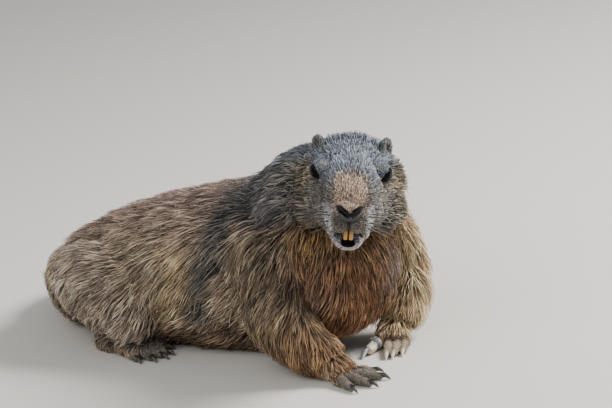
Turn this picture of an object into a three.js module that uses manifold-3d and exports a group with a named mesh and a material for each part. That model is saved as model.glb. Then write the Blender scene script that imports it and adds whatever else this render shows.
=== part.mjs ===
// Alpine marmot, life size: it crouches on its belly, the chest raised on the forelegs and the
// head turned to its right. Millimetres, +Z up, the trunk along Y and facing -Y.
// Left and right are the animal's own, so its left side is +X.
import * as THREE from "three";
import { mergeVertices } from "three/addons/utils/BufferGeometryUtils.js";
import Module from "manifold-3d";

const wasm = await Module();
wasm.setup();

const GAP = 0.3; // clearance between parts that touch
const LEFT = 1;
const RIGHT = -1;
const degrees = THREE.MathUtils.degToRad;
const v = (x, y, z) => new THREE.Vector3(x, y, z);

// The head's own frame has its origin midway between the eyes and faces -Y.
const HEAD_AT = v(-42, -185, 160);
const HEAD_YAW = degrees(-54);
const HEAD_PITCH = degrees(6);
const HEAD_ROLL = degrees(10);
const EYE = { x: 22, y: 0, z: 0, radius: 7.5 };
const EYE_AXIS = v(0.86, -0.48, 0.14).normalize();
// Each finger from the inner side out: across, back, length, turn, half width and length of claw.
const RIGHT_FINGERS = [
  [9.5, -10, 24, 21, 3.8, 5.2],
  [4.2, -11, 28, 0, 3.9, 5.2],
  [-3, -11, 27, -19, 3.8, 5.2],
  [-9.5, -10, 17, -44, 3.6, 5.2],
];
const LEFT_FINGERS = [
  [10.5, -11, 21, 0, 3.5, 5.2],
  [4.8, -12, 25, -3, 3.6, 5.2],
  [-2.4, -12, 25, 1, 3.7, 5.2],
  [-9.5, -11, 18, -24, 4.9, 8.5],
];
const HINDDIGIT_LENGTHS = [13, 18, 20, 18, 13];
const HINDDIGIT_SIZE = 3.7;

// Colours of the coat and the bare parts.
const COLOURS = {
  back: "#5d5046",
  chest: "#8a6242",
  crown: "#5b5a5a",
  muzzle: "#8d7c6c",
  tail: "#4a3c33",
  paw: "#8b7c6b",
  nose: "#1f1c1c",
  eye: "#0b0a0a",
  tooth: "#d58a2c",
  claw: "#57504a",
};

// Smooth curve through equally spaced values, t from 0 to 1.
function through(values, t) {
  const last = values.length - 1;
  const x = Math.min(Math.max(t, 0), 1) * last;
  const i = Math.min(Math.floor(x), last - 1);
  const k = x - i;
  const [a, b, c, d] = [i - 1, i, i + 1, i + 2].map((j) => values[Math.min(Math.max(j, 0), last)]);
  const square = (2 * a - 5 * b + 4 * c - d) * k * k;
  const cube = (3 * b - a - 3 * c + d) * k * k * k;
  return 0.5 * (2 * b + (c - a) * k + square + cube);
}

// Draws between 0 and 1 that are the same on every run.
function drawsFrom(seed) {
  let state = seed;
  return () => {
    state = (state * 16807) % 2147483647;
    return state / 2147483647;
  };
}

// A closed mesh solid from points and triangles, turned so that its faces point out.
function closed(points, triangles) {
  const build = (faces) =>
    new wasm.Manifold(
      new wasm.Mesh({
        numProp: 3,
        vertProperties: new Float32Array(points.flatMap((p) => [p.x, p.y, p.z])),
        triVerts: new Uint32Array(faces.flat()),
      }),
    );
  const made = build(triangles);
  return made.volume() > 0 ? made : build(triangles.map(([a, b, c]) => [a, c, b]));
}

// Joins rings of equal length into a skin, closed at each end by a pole or by a flat fan.
function skinOf(rings, firstPole, lastPole) {
  const sides = rings[0].length;
  const points = [firstPole, ...rings.flat(), lastPole];
  const at = (ring, k) => 1 + ring * sides + (k % sides);
  const triangles = [];
  for (let k = 0; k < sides; k++) {
    triangles.push([0, at(0, k + 1), at(0, k)]);
    for (let r = 0; r + 1 < rings.length; r++) {
      triangles.push([at(r, k), at(r, k + 1), at(r + 1, k)]);
      triangles.push([at(r, k + 1), at(r + 1, k + 1), at(r + 1, k)]);
    }
    triangles.push([points.length - 1, at(rings.length - 1, k), at(rings.length - 1, k + 1)]);
  }
  return closed(points, triangles);
}

// A body of oval rings along a path. A station is [x, y, z, half width, height above, depth below],
// with the ring's power last: 2 makes an ellipse and more makes it boxier. The sizes are at the tips
// of the coat, and coat holds how far below them the core lies, under the locks. Where the body
// lies on its belly, the coat is pressed flat and the core is as low as the coat.
class Loft {
  constructor({ stations, up, rows, sides, caps, power = 2, capSteps = [0.9, 0.55], coat = [0, 0], lies }) {
    Object.assign(this, { up, rows, sides, caps, capSteps, coat, lies });
    const full = stations.map((s) => (s.length > 6 ? s : [...s, power]));
    this.columns = full[0].map((_, i) => full.map((s) => s[i]));
    const steps = Array.from({ length: 60 }, (_, i) => this.centre(i / 60));
    this.length = steps.reduce((sum, p, i) => sum + (i ? p.distanceTo(steps[i - 1]) : 0), 0);
  }
  centre(t) {
    return v(...this.columns.slice(0, 3).map((c) => through(c, t)));
  }
  // The centre, axes and size at t. Past either end the rings shrink as a round cap does.
  frame(t, grow = 0, core = false) {
    const inside = Math.min(Math.max(t, 0), 1);
    const step = 0.01;
    const along = this.centre(Math.min(inside + step, 1)).sub(this.centre(Math.max(inside - step, 0)));
    along.normalize();
    const up = this.up.clone().addScaledVector(along, -this.up.dot(along)).normalize();
    const side = v(0, 0, 0).crossVectors(along, up);
    const beyond = (t - inside) * this.length;
    const more = grow - (core ? through(this.coat, inside) : 0);
    const cap = (t < 0 ? this.caps[0] : this.caps[1]) + more;
    const share = Math.min(Math.abs(beyond) / cap, 1);
    const round = Math.sqrt(1 - share * share);
    const at = this.centre(inside).addScaledVector(along, beyond);
    const [half, top, bottom] = this.columns
      .slice(3, 6)
      .map((c, i) => (through(c, inside) + (i === 2 && this.lies ? grow : more)) * round);
    return { at, along, side, up, half, top, bottom, power: through(this.columns[6], inside) };
  }
  // The point at angle a, where 0 is the side axis and a quarter turn is up.
  point(t, a, grow = 0, core = false) {
    const f = this.frame(t, grow, core);
    const oval = (x) => Math.sign(x) * Math.abs(x) ** (2 / f.power);
    const rise = oval(Math.sin(a));
    return f.at
      .addScaledVector(f.side, oval(Math.cos(a)) * f.half)
      .addScaledVector(f.up, rise * (rise > 0 ? f.top : f.bottom));
  }
  normal(t, a) {
    const f = this.frame(t);
    const out = this.point(t, a).sub(f.at);
    const turned = this.point(t, a + 0.05).sub(this.point(t, a - 0.05));
    const made = v(0, 0, 0).crossVectors(turned, f.along).normalize();
    return made.dot(out) < 0 ? made.negate() : made;
  }
  // Whether a point lies in the form, or in its core.
  holds(point, core) {
    const slices = 60;
    for (let i = 0; i <= slices; i++) {
      const f = this.frame(i / slices, 0, core);
      const off = point.clone().sub(f.at);
      const height = off.dot(f.up);
      const across = (off.dot(f.side) / f.half) ** 2 + (height / (height > 0 ? f.top : f.bottom)) ** 2;
      if (Math.abs(off.dot(f.along)) <= this.length / slices && across < 1) return true;
    }
    return false;
  }
  // The spot reached from a spot by going some way over the surface towards a direction.
  walk({ t, a }, direction, way) {
    const [dt, da] = [0.5 / this.length, 0.02];
    const onT = this.point(t + dt, a).sub(this.point(t - dt, a)).divideScalar(2 * dt);
    const onA = this.point(t, a + da).sub(this.point(t, a - da)).divideScalar(2 * da);
    const out = v(0, 0, 0).crossVectors(onT, onA).normalize();
    const step = direction.clone().addScaledVector(out, -direction.dot(out)).setLength(way);
    const [tt, ta, aa] = [onT.dot(onT), onT.dot(onA), onA.dot(onA)];
    const [st, sa] = [step.dot(onT), step.dot(onA)];
    const spread = tt * aa - ta * ta;
    const [low, high] = [(-0.9 * this.caps[0]) / this.length, 1 + (0.9 * this.caps[1]) / this.length];
    const next = Math.min(Math.max(t + (st * aa - sa * ta) / spread, low), high);
    return { t: next, a: a + (sa * tt - st * ta) / spread };
  }
  solid(grow = 0, core = false) {
    const below = [0, 1].map((t) => (core ? through(this.coat, t) : 0));
    const reach = this.caps.map((cap, i) => (cap + grow - below[i]) / this.length);
    const ends = reach.map((r) => this.capSteps.map((s) => s * r));
    const body = Array.from({ length: this.rows }, (_, i) => i / (this.rows - 1));
    const stops = [...ends[0].map((s) => -s), ...body, ...ends[1].map((s) => 1 + s).reverse()];
    const rings = stops.map((t) =>
      Array.from({ length: this.sides }, (_, k) => this.point(t, (2 * Math.PI * k) / this.sides, grow, core)),
    );
    const pole = (t) => this.frame(t, grow, core).at;
    return skinOf(rings, pole(-reach[0]), pole(1 + reach[1]));
  }
}

// An ellipsoid with the given centre and radii, turned about Z by turn.
function ball(centre, radii, grow = 0, turn = 0, detail = 12) {
  const sphere = new THREE.SphereGeometry(1, detail, Math.round(detail * 0.7));
  sphere.scale(...radii.map((r) => r + grow));
  sphere.rotateZ(turn);
  sphere.translate(...centre);
  return solidOf(stripped(sphere));
}

function solidOf(geometry) {
  const merged = mergeVertices(geometry, 1e-4);
  const position = merged.getAttribute("position");
  const points = Array.from({ length: position.count }, (_, i) => v().fromBufferAttribute(position, i));
  const faces = [];
  for (let i = 0; i < merged.index.count; i += 3) {
    const face = [0, 1, 2].map((k) => merged.index.getX(i + k));
    if (new Set(face).size === 3) faces.push(face);
  }
  return closed(points, faces);
}

// The four spots that a lock passes on its way over a form, bending as it goes.
const LOCK_STOPS = [0, 0.36, 0.72, 1];
function pathOf(form, { start, lie, length, bend }) {
  const spots = [start];
  for (let i = 1; i < LOCK_STOPS.length; i++) {
    const here = spots[i - 1];
    const way = lie(form.frame(here.t)).applyAxisAngle(form.normal(here.t, here.a), bend * i);
    spots.push(form.walk(here, way, (LOCK_STOPS[i] - LOCK_STOPS[i - 1]) * length));
  }
  return spots;
}

// A lock runs well where it nowhere stops short or doubles back, as it would at a form's end.
function runsWell(form, spec) {
  const places = pathOf(form, spec).map(({ t, a }) => form.point(t, a));
  const steps = places.slice(1).map((p, i) => p.distanceTo(places[i]));
  const wanted = LOCK_STOPS.slice(1).map((s, i) => (s - LOCK_STOPS[i]) * spec.length);
  return steps.every((s, i) => s > 0.8 * wanted[i] && s < 1.2 * wanted[i]);
}

// One lock of hair: a flat blade along the lie, its root sunk in the core and its tip at the
// surface of the coat. It is widest at a third of its length.
function lock(form, spec, grow = 0) {
  const { start, width, thick, lift } = spec;
  const widths = [0.7, 1, 0.68];
  const heights = [-1.35, -0.5, -0.12, 0];
  const spots = pathOf(form, spec);
  const depth = through(form.coat, start.t);
  const centres = spots.map(({ t, a }, i) => form.point(t, a, heights[i] * depth + (i === 3 ? lift : 0)));
  const points = widths.flatMap((share, i) => {
    const out = form.normal(spots[i].t, spots[i].a);
    const along = centres[i + 1].clone().sub(centres[i]).normalize();
    const side = v(0, 0, 0).crossVectors(along, out);
    const half = (width * share) / 2 + grow;
    const ridge = [0, thick * (1 - 0.3 * i) + grow];
    const section = grow
      ? [[-half, -grow], [-half, grow], ridge, [half, grow], [half, -grow]]
      : [[-half, 0], ridge, [half, 0]];
    return section.map(([x, y]) => centres[i].clone().addScaledVector(side, x).addScaledVector(out, y));
  });
  const last = centres[3].clone().sub(centres[2]).normalize();
  points.push(centres[3].clone().addScaledVector(last, 5 * grow));
  const corners = (points.length - 1) / 3;
  const faces = [];
  for (let k = 0; k < corners; k++) {
    const next = (k + 1) % corners;
    if (k > 1) faces.push([0, k - 1, k]);
    for (const r of [0, corners]) {
      faces.push([r + k, r + corners + k, r + next], [r + next, r + corners + k, r + corners + next]);
    }
    faces.push([2 * corners + k, 3 * corners, 2 * corners + next]);
  }
  return closed(points, faces);
}

// Locks in staggered rows over a form, between two stops of its length and two angles.
function locksOver(form, { seed, rows, from, to, arc, lie, length, width, thick = 2.2 }) {
  const draw = drawsFrom(seed);
  const list = [];
  for (let row = 0; row < rows; row++) {
    const t = from + ((to - from) * (row + 0.5)) / rows;
    const [a0, a1] = arc.map(degrees);
    const round = Array.from({ length: 25 }, (_, i) => form.point(t, a0 + ((a1 - a0) * i) / 24));
    const girth = round.reduce((sum, p, i) => sum + (i ? p.distanceTo(round[i - 1]) : 0), 0);
    const count = Math.max(3, Math.round(girth / width));
    for (let k = 0; k < count; k++) {
      const share = (k + 0.5 + (row % 2 ? 0.25 : -0.25)) / count;
      list.push({
        start: { t: t + ((draw() - 0.5) * 8) / form.length, a: a0 + (a1 - a0) * share },
        lie,
        length: length * (0.88 + 0.24 * draw()),
        width: (girth / count) * (0.8 + 0.16 * draw()),
        thick: thick * (0.85 + 0.3 * draw()),
        bend: (draw() - 0.5) * 0.22,
        lift: (draw() - 0.5) * 2.4,
      });
    }
  }
  return list.filter((spec) => runsWell(form, spec));
}

const joined = (solids) => solids.reduce((sum, s) => sum.add(s));
const cutBy = (solid, cutters) => cutters.reduce((left, c) => left.subtract(c), solid);

// The largest closed surface of a solid.
function largest(solid) {
  return solid.decompose().reduce((best, s) => (s.volume() > best.volume() ? s : best));
}

// A named mesh of a solid's largest body.
function part(name, solid, colour, roughness = 0.9) {
  const mesh = largest(solid).getMesh();
  const corners = new Float32Array(mesh.numVert * 3);
  for (let i = 0; i < mesh.numVert; i++) {
    corners.set(mesh.vertProperties.subarray(i * mesh.numProp, i * mesh.numProp + 3), i * 3);
  }
  const geometry = new THREE.BufferGeometry();
  geometry.setAttribute("position", new THREE.BufferAttribute(corners, 3));
  geometry.setIndex(new THREE.BufferAttribute(mesh.triVerts, 1));
  const material = new THREE.MeshStandardMaterial({ color: colour, roughness, metalness: 0 });
  const made = new THREE.Mesh(geometry, material);
  made.name = name;
  return made;
}

function stripped(geometry) {
  geometry.deleteAttribute("normal");
  geometry.deleteAttribute("uv");
  return geometry;
}

const FLOOR = solidOf(stripped(new THREE.BoxGeometry(900, 900, 100).translate(0, 0, -50)));

// Skull and upper muzzle, from the nose back to the nape.
const skull = new Loft({
  stations: [
    [0, -50, -18, 11, 10, 11, 2.4],
    [0, -44, -20, 15.5, 15.5, 14, 2.6],
    [0, -34, -20, 18.5, 22, 17, 2.8],
    [0, -20, -18, 22, 27, 24, 2.8],
    [0, -6, -19, 28, 33, 29, 2.5],
    [0, 8, -23, 35, 42, 30, 2.2],
    [0, 24, -28, 41, 51, 28, 2.2],
    [0, 40, -28, 43.5, 52, 26, 2.2],
    [0, 54, -24, 40, 42, 24, 2.1],
    [0, 67, -19, 30, 27, 20, 2],
  ],
  up: v(0, 0, 1),
  rows: 12,
  sides: 20,
  caps: [4, 12],
  capSteps: [0.7],
});

const jaw = new Loft({
  stations: [
    [0, -41, -45, 7.5, 2.5, 3.5, 2],
    [0, -35, -45.5, 12.5, 3, 6, 2.4],
    [0, -24, -44.5, 15.5, 4, 9, 2.5],
    [0, -10, -43, 18, 6, 12, 2.4],
    [0, 4, -41, 21, 8, 14, 2.3],
  ],
  up: v(0, 0, 1),
  rows: 5,
  sides: 12,
  caps: [3, 6],
  capSteps: [0.7],
});

// One upper incisor, curving forward and down out of the lip.
function incisor(side, grow = 0) {
  return new Loft({
    stations: [
      [side * 2.3, -38, -22, 1.9, 1.5, 1.5],
      [side * 2.3, -42, -29, 1.95, 1.4, 1.4],
      [side * 2.25, -43.5, -35, 1.9, 1.1, 1.2],
      [side * 2.15, -42.8, -40, 1.7, 0.5, 0.6],
    ],
    up: v(0, -1, 0),
    rows: 5,
    sides: 8,
    caps: [1, 0.5],
    power: 2.8,
    capSteps: [0.7],
  }).solid(grow);
}

// A ring of flesh round the eye: wide along the head and low, as open lids are.
function lids(side) {
  const ring = new THREE.TorusGeometry(EYE.radius * 0.86, 1.9, 4, 11);
  ring.scale(1.12, 0.92, 1);
  const gaze = v(side * EYE_AXIS.x, EYE_AXIS.y, EYE_AXIS.z);
  ring.applyQuaternion(new THREE.Quaternion().setFromUnitVectors(v(0, 0, 1), gaze));
  const out = EYE.radius * 0.42;
  ring.translate(
    side * (EYE.x + EYE_AXIS.x * out),
    EYE.y + EYE_AXIS.y * out,
    EYE.z + EYE_AXIS.z * out,
  );
  return solidOf(stripped(ring));
}

const eyeball = (side, grow = 0) =>
  ball([side * EYE.x, EYE.y, EYE.z], [EYE.radius, EYE.radius, EYE.radius], grow, 0, 12);

// A low cup, open towards the front and the side.
function ear(side, grow = 0) {
  const centre = [side * 26, 31, 9.5];
  const turn = side * degrees(48);
  const shell = ball(centre, [6.7, 3.8, 8.8], grow, turn, 12);
  if (grow) return shell;
  const open = [centre[0] + 3 * Math.sin(turn), centre[1] - 3 * Math.cos(turn), centre[2] + 1];
  return shell.subtract(ball(open, [4.5, 3.5, 6.4], 0, turn, 10));
}

function nosePad(grow = 0) {
  const pad = ball([0, -50.5, -15.5], [11, 4.2, 6], grow, 0, 12);
  if (grow) return pad;
  const slits = [LEFT, RIGHT].map((s) =>
    ball([s * 6.2, -53.4, -14.6], [4, 3.2, 1.5], 0, s * degrees(-24), 7),
  );
  return cutBy(pad, slits);
}

function headShape(grow = 0) {
  const pads = [LEFT, RIGHT].map((s) => ball([s * 8.5, -37, -24.5], [10, 13, 9.5], grow, 0, 9));
  return joined([skull.solid(grow), ...pads]);
}

function buildHead() {
  const sides = [LEFT, RIGHT];
  const mouth = ball([0, -41, -37.5], [9.5, 15, 7.5], 0, 0, 12);
  const philtrum = ball([0, -54, -25], [1.3, 6, 6.5], 0, 0, 8);
  const cutters = [
    mouth,
    philtrum,
    nosePad(GAP),
    jaw.solid(GAP),
    ...sides.map((s) => eyeball(s, GAP)),
    ...sides.map((s) => incisor(s, GAP)),
    ...sides.map((s) => ear(s, GAP)),
  ];
  const head = cutBy(joined([headShape(), ...sides.map(lids)]), cutters);
  const group = new THREE.Group();
  group.add(part("head", head, COLOURS.crown));
  group.add(part("lower_jaw", jaw.solid(), COLOURS.muzzle));
  group.add(part("nose", nosePad(), COLOURS.nose, 0.4));
  for (const s of sides) {
    const name = s === LEFT ? "left" : "right";
    group.add(part(`ear_${name}`, ear(s), COLOURS.muzzle));
    group.add(part(`eye_${name}`, eyeball(s), COLOURS.eye, 0.05));
    group.add(part(`incisor_${name}`, incisor(s), COLOURS.tooth, 0.35));
  }
  group.position.copy(HEAD_AT);
  group.rotation.set(HEAD_PITCH, HEAD_ROLL, HEAD_YAW, "ZXY");
  group.updateMatrixWorld(true);
  return group;
}

// The body's sizes are at the tips of the coat.
const torso = new Loft({
  stations: [
    [-18, -150, 76, 48, 42, 46],
    [-11, -130, 76, 60, 52, 56],
    [-2, -100, 74, 70, 65, 64],
    [4, -60, 70, 77, 71, 72],
    [7, -10, 66, 84, 64, 71],
    [7, 45, 62, 84, 57, 67],
    [4, 95, 56, 76, 50, 60],
    [-1, 135, 50, 62, 39, 52],
    [-7, 162, 44, 42, 27, 42],
  ],
  up: v(0, 0, 1),
  rows: 11,
  sides: 20,
  caps: [14, 20],
  capSteps: [0.8],
  power: 2.15,
  coat: [6, 6, 7, 7.5, 7.5, 7.5, 7.5, 7, 6],
  lies: true,
});

// The breast between the forelegs, from the throat down. Its front is the side called up.
const breast = new Loft({
  stations: [
    [-27, -147, 112, 40, 24, 20],
    [-25, -151, 88, 47, 29, 26],
    [-20, -150, 60, 45, 28, 26],
    [-15, -142, 36, 37, 22, 22],
  ],
  up: v(-0.34, -0.94, 0),
  rows: 4,
  sides: 14,
  caps: [12, 16],
  capSteps: [0.8],
  coat: [6, 6, 6, 5],
});

const neck = new Loft({
  stations: [
    [6, -84, 84, 62, 62, 56],
    [3, -110, 101, 62, 64, 56],
    [-4, -134, 117, 60, 61, 52],
    [-12, -153, 128, 52, 51, 42],
  ],
  up: v(0, 0, 1),
  rows: 5,
  sides: 18,
  caps: [14, 10],
  capSteps: [0.75],
  coat: [6.5, 6.5, 6, 5],
});

const tail = new Loft({
  stations: [
    [-6, 166, 34, 15, 14, 15],
    [8, 187, 29, 21, 19, 24],
    [33, 201, 26, 25, 22, 25],
    [63, 208, 24, 26, 21, 25],
    [94, 209, 21, 22, 18, 22],
    [118, 205, 16, 13, 11, 15],
  ],
  up: v(0, 0, 1),
  rows: 8,
  sides: 12,
  caps: [8, 14],
  coat: [4, 7, 9, 9, 8, 5],
  lies: true,
});

// Legs: a station's half width is across the body and its height is to the front.
const legForm = {
  up: v(0, -1, 0),
  rows: 6,
  sides: 12,
  caps: [14, 7],
  capSteps: [0.75],
  coat: [5.5, 5.5, 5, 3.5, 1.5],
};
const forelegs = {
  right: new Loft({
    stations: [
      [-50, -104, 96, 26, 34, 34],
      [-62, -114, 70, 26, 31, 33],
      [-72, -124, 44, 22, 26, 30],
      [-71, -142, 27, 18, 20, 24],
      [-68, -163, 16, 13, 13, 15],
    ],
    ...legForm,
  }),
  left: new Loft({
    stations: [
      [37, -134, 96, 26, 32, 34],
      [44, -145, 71, 27, 30, 32],
      [46, -151, 48, 21, 26, 28],
      [40, -157, 32, 17.5, 20, 22],
      [29, -160, 19, 13, 14, 15],
    ],
    ...legForm,
  }),
};

const hindleg = (s) =>
  new Loft({
    stations: [
      [s * 50, 118, 54, 25, 30, 28],
      [s * 60, 88, 53, 29, 38, 38],
      [s * 67, 54, 42, 27, 34, 34],
      [s * 68, 38, 28, 20, 22, 24],
    ],
    up: v(0, 0, 1),
    rows: 5,
    sides: 13,
    caps: [22, 16],
    capSteps: [0.8],
    coat: [6, 6.5, 6, 3],
  });
const hindlegs = { left: hindleg(LEFT), right: hindleg(RIGHT) };

// A digit from its knuckle to the tip, and the claw that grows from it. The paw faces -Y.
function digit({ root, yaw, length, size, clawLength, capSteps }) {
  const direction = v(Math.sin(yaw), -Math.cos(yaw), 0);
  const at = (share, height) => root.clone().addScaledVector(direction, share * length).setZ(height);
  const station = (p, half, top, bottom) => [p.x, p.y, p.z, half, top, bottom];
  const toe = new Loft({
    stations: [
      station(at(0, size * 1.1), size * 0.95, size, size * 1.2),
      station(at(0.45, size * 1.25), size, size, size * 1.3),
      station(at(0.8, size * 0.95), size * 0.95, size * 0.85, size),
      station(at(1, size * 0.8), size * 0.75, size * 0.65, size * 0.8),
    ],
    up: v(0, 0, 1),
    rows: 3,
    sides: 6,
    caps: [size, size * 0.6],
    capSteps,
  });
  const reach = length + size * 0.6;
  const clawAt = (extra, height) => root.clone().addScaledVector(direction, reach + extra).setZ(height);
  const claw = new Loft({
    stations: [
      station(clawAt(-size * 0.9, size * 1.1), size * 0.46, size * 0.5, size * 0.5),
      station(clawAt(clawLength * 0.25, size * 1.02), size * 0.42, size * 0.44, size * 0.44),
      station(clawAt(clawLength * 0.68, size * 0.68), size * 0.3, size * 0.3, size * 0.32),
      station(clawAt(clawLength, size * 0.26), size * 0.14, size * 0.1, size * 0.1),
    ],
    up: v(0, 0, 1),
    rows: 4,
    sides: 5,
    caps: [1, size * 0.2],
    capSteps: [],
  });
  return { toe, claw };
}

// A paw with its sole on the floor: the palm from the wrist at the origin, and the digits.
// cover is a plain form round the palm and digits, cut from what lies over the paw.
function paw({ name, palm, digits, cover, at, yaw }) {
  const fingers = digits.map(digit);
  const shape = (grow) => joined([palm.solid(grow), ...fingers.map((f) => f.toe.solid(grow))]);
  const claws = fingers.map((f) => f.claw.solid(0).subtract(FLOOR));
  const solid = cutBy(shape(0), fingers.map((f) => f.claw.solid(GAP))).subtract(FLOOR);
  const group = new THREE.Group();
  group.add(part(name, solid, COLOURS.paw));
  claws.forEach((c, i) => group.add(part(`${name}_claw_${i + 1}`, c, COLOURS.claw, 0.45)));
  group.position.copy(at);
  group.rotation.z = yaw;
  group.updateMatrixWorld(true);
  const grown = joined([palm.solid(GAP), ball(...cover, GAP)]);
  return { group, grown: grown.transform(group.matrixWorld.elements) };
}

const palmOf = (stations) =>
  new Loft({ stations, up: v(0, 0, 1), rows: 3, sides: 9, caps: [6, 4], power: 2.4 });

function forepaw(name, s, at, yaw, fingers) {
  const palm = palmOf([
    [0, 4, 13, 10, 9, 11],
    [0, -4, 10, 12, 9, 10.5],
    [0, -11, 7.5, 12.5, 7, 7.5],
  ]);
  const digits = fingers.map(([across, back, length, turn, size, clawLength]) => ({
    root: v(across * s, back, 0),
    yaw: degrees(turn) * s,
    length,
    size,
    clawLength,
    capSteps: [0.75],
  }));
  return paw({ name, palm, digits, cover: [[0, -26, 4], [23, 29, 10]], at, yaw });
}

function hindpaw(name, s, at, yaw) {
  const palm = palmOf([
    [0, 42, 11, 11, 10, 11.5],
    [0, 18, 10, 13, 9, 10.5],
    [0, -4, 8, 14, 7.5, 8.5],
  ]);
  const digits = [22, 10, 0, -9, -24].map((angle, i) => ({
    root: v([11, 6, 0.5, -5, -11][i] * s, [0, -4, -5, -4, 2][i], 0),
    yaw: degrees(angle) * s,
    length: HINDDIGIT_LENGTHS[i],
    size: HINDDIGIT_SIZE,
    clawLength: HINDDIGIT_SIZE * 1.7,
    capSteps: [],
  }));
  return paw({ name, palm, digits, cover: [[0, -8, 4], [24, 28, 10]], at, yaw });
}

const head = buildHead();
const paws = {
  foreRight: forepaw("forepaw_right", RIGHT, v(-69, -165, 0), degrees(-2), RIGHT_FINGERS),
  foreLeft: forepaw("forepaw_left", LEFT, v(21, -157, 0), degrees(-60), LEFT_FINGERS),
  hindRight: hindpaw("hindpaw_right", RIGHT, v(-67, 38, 0), degrees(-8)),
  hindLeft: hindpaw("hindpaw_left", LEFT, v(67, 38, 0), degrees(8)),
};

// The coat lies back along the body and hangs down its sides. On the tail it follows the tail.
const backAndDown = () => v(0, 1, -0.85);
const downTheLeg = () => v(0, 0.35, -1);
const alongTail = (frame) => frame.along.clone().setZ(frame.along.z - 0.15);
const thighCoat = { rows: 4, from: 0, to: 0.8, lie: backAndDown, length: 40, width: 21 };
const foreCoat = { rows: 4, from: 0.02, to: 0.82, lie: downTheLeg, length: 35, width: 20 };
const breastCoat = { rows: 4, from: 0.02, to: 0.92, lie: () => v(0, 0.05, -1), length: 36, width: 23 };

// From the head back, each part is cut clear of all that lie over it.
const flesh = [
  {
    name: "neck",
    form: neck,
    colour: COLOURS.back,
    locks: locksOver(neck, {
      seed: 11,
      rows: 3,
      from: 0.12,
      to: 1,
      arc: [-50, 230],
      lie: backAndDown,
      length: 42,
      width: 24,
    }),
  },
  {
    name: "foreleg_right",
    form: forelegs.right,
    colour: COLOURS.chest,
    locks: locksOver(forelegs.right, { ...foreCoat, seed: 21, arc: [-90, 130] }),
  },
  {
    name: "foreleg_left",
    form: forelegs.left,
    colour: COLOURS.chest,
    locks: locksOver(forelegs.left, { ...foreCoat, seed: 22, arc: [50, 270] }),
  },
  {
    name: "hindleg_right",
    form: hindlegs.right,
    colour: COLOURS.back,
    locks: locksOver(hindlegs.right, { ...thighCoat, seed: 31, arc: [-45, 115] }),
  },
  {
    name: "hindleg_left",
    form: hindlegs.left,
    colour: COLOURS.back,
    locks: locksOver(hindlegs.left, { ...thighCoat, seed: 32, arc: [65, 225] }),
  },
  {
    name: "torso",
    form: torso,
    colour: COLOURS.back,
    locks: locksOver(torso, {
      seed: 41,
      rows: 8,
      from: 0.06,
      to: 0.98,
      arc: [-30, 210],
      lie: backAndDown,
      length: 62,
      width: 32,
      thick: 2.6,
    }),
    front: breast,
    frontLocks: locksOver(breast, { ...breastCoat, seed: 42, arc: [12, 168] }),
  },
  {
    name: "tail",
    form: tail,
    colour: COLOURS.tail,
    locks: locksOver(tail, {
      seed: 51,
      rows: 4,
      from: 0.08,
      to: 0.98,
      arc: [-25, 205],
      lie: alongTail,
      length: 42,
      width: 18,
    }),
  },
];

// A lock is left out where it would lie in the coat of a part that is over it, or run into the
// core of one that is under it.
function seenOnly(form, locks, order) {
  const seen = (spot) => {
    const point = form.point(spot.t, spot.a);
    return !flesh.some((other, i) => i !== order && other.form.holds(point, i > order));
  };
  return locks.filter((l) => pathOf(form, l).slice(1, 3).every(seen));
}

const body = new THREE.Group();
const over = [
  headShape(GAP).transform(head.matrixWorld.elements),
  jaw.solid(GAP).transform(head.matrixWorld.elements),
  ...[LEFT, RIGHT].map((s) => ear(s, GAP).transform(head.matrixWorld.elements)),
  ...Object.values(paws).map((p) => p.grown),
];
flesh.forEach(({ name, form, colour, locks, front, frontLocks = [] }, order) => {
  const blades = seenOnly(form, locks, order).map((l) => (grow) => lock(form, l, grow));
  blades.push(...seenOnly(front, frontLocks, order).map((l) => (grow) => lock(front, l, grow)));
  const cores = front ? [form, front] : [form];
  const shape = (grow) => joined([...cores.map((c) => c.solid(grow, true)), ...blades.map((b) => b(grow))]);
  body.add(part(name, cutBy(shape(0), over).subtract(FLOOR), colour));
  over.push(shape(GAP));
});

const marmot = new THREE.Group();
marmot.add(body, head, ...Object.values(paws).map((p) => p.group));

// The origin is under the middle of the whole animal, on the floor.
marmot.updateMatrixWorld(true);
const box = new THREE.Box3().setFromObject(marmot, true);
marmot.position.set(-(box.min.x + box.max.x) / 2, -(box.min.y + box.max.y) / 2, -box.min.z);

export default marmot;
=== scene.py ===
"""A life-size alpine marmot on its belly, the chest raised on the forelegs and the head turned right."""

import math

import bmesh
import bpy
import numpy as np
from mathutils import Matrix, Vector
from mathutils.bvhtree import BVHTree
from mathutils.kdtree import KDTree


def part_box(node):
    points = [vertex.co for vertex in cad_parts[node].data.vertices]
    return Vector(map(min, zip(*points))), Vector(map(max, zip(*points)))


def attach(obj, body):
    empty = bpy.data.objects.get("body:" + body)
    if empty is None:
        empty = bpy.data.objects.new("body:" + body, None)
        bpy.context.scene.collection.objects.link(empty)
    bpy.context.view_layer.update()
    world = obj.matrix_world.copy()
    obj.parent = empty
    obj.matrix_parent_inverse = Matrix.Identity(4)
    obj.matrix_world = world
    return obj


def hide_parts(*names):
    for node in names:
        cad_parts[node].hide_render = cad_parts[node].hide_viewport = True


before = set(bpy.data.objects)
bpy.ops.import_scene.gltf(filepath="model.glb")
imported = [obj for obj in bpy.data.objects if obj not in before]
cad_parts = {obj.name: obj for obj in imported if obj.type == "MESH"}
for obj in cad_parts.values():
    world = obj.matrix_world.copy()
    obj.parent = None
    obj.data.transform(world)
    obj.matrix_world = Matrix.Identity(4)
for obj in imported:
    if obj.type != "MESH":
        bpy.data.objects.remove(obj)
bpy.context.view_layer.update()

# The view: a long lens a little above the animal's eyes, turned a few degrees, so that the trunk
# runs down to the left. It is aimed by the point midway between the eyes.
LEFT_RIGHT = ("left", "right")
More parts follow.
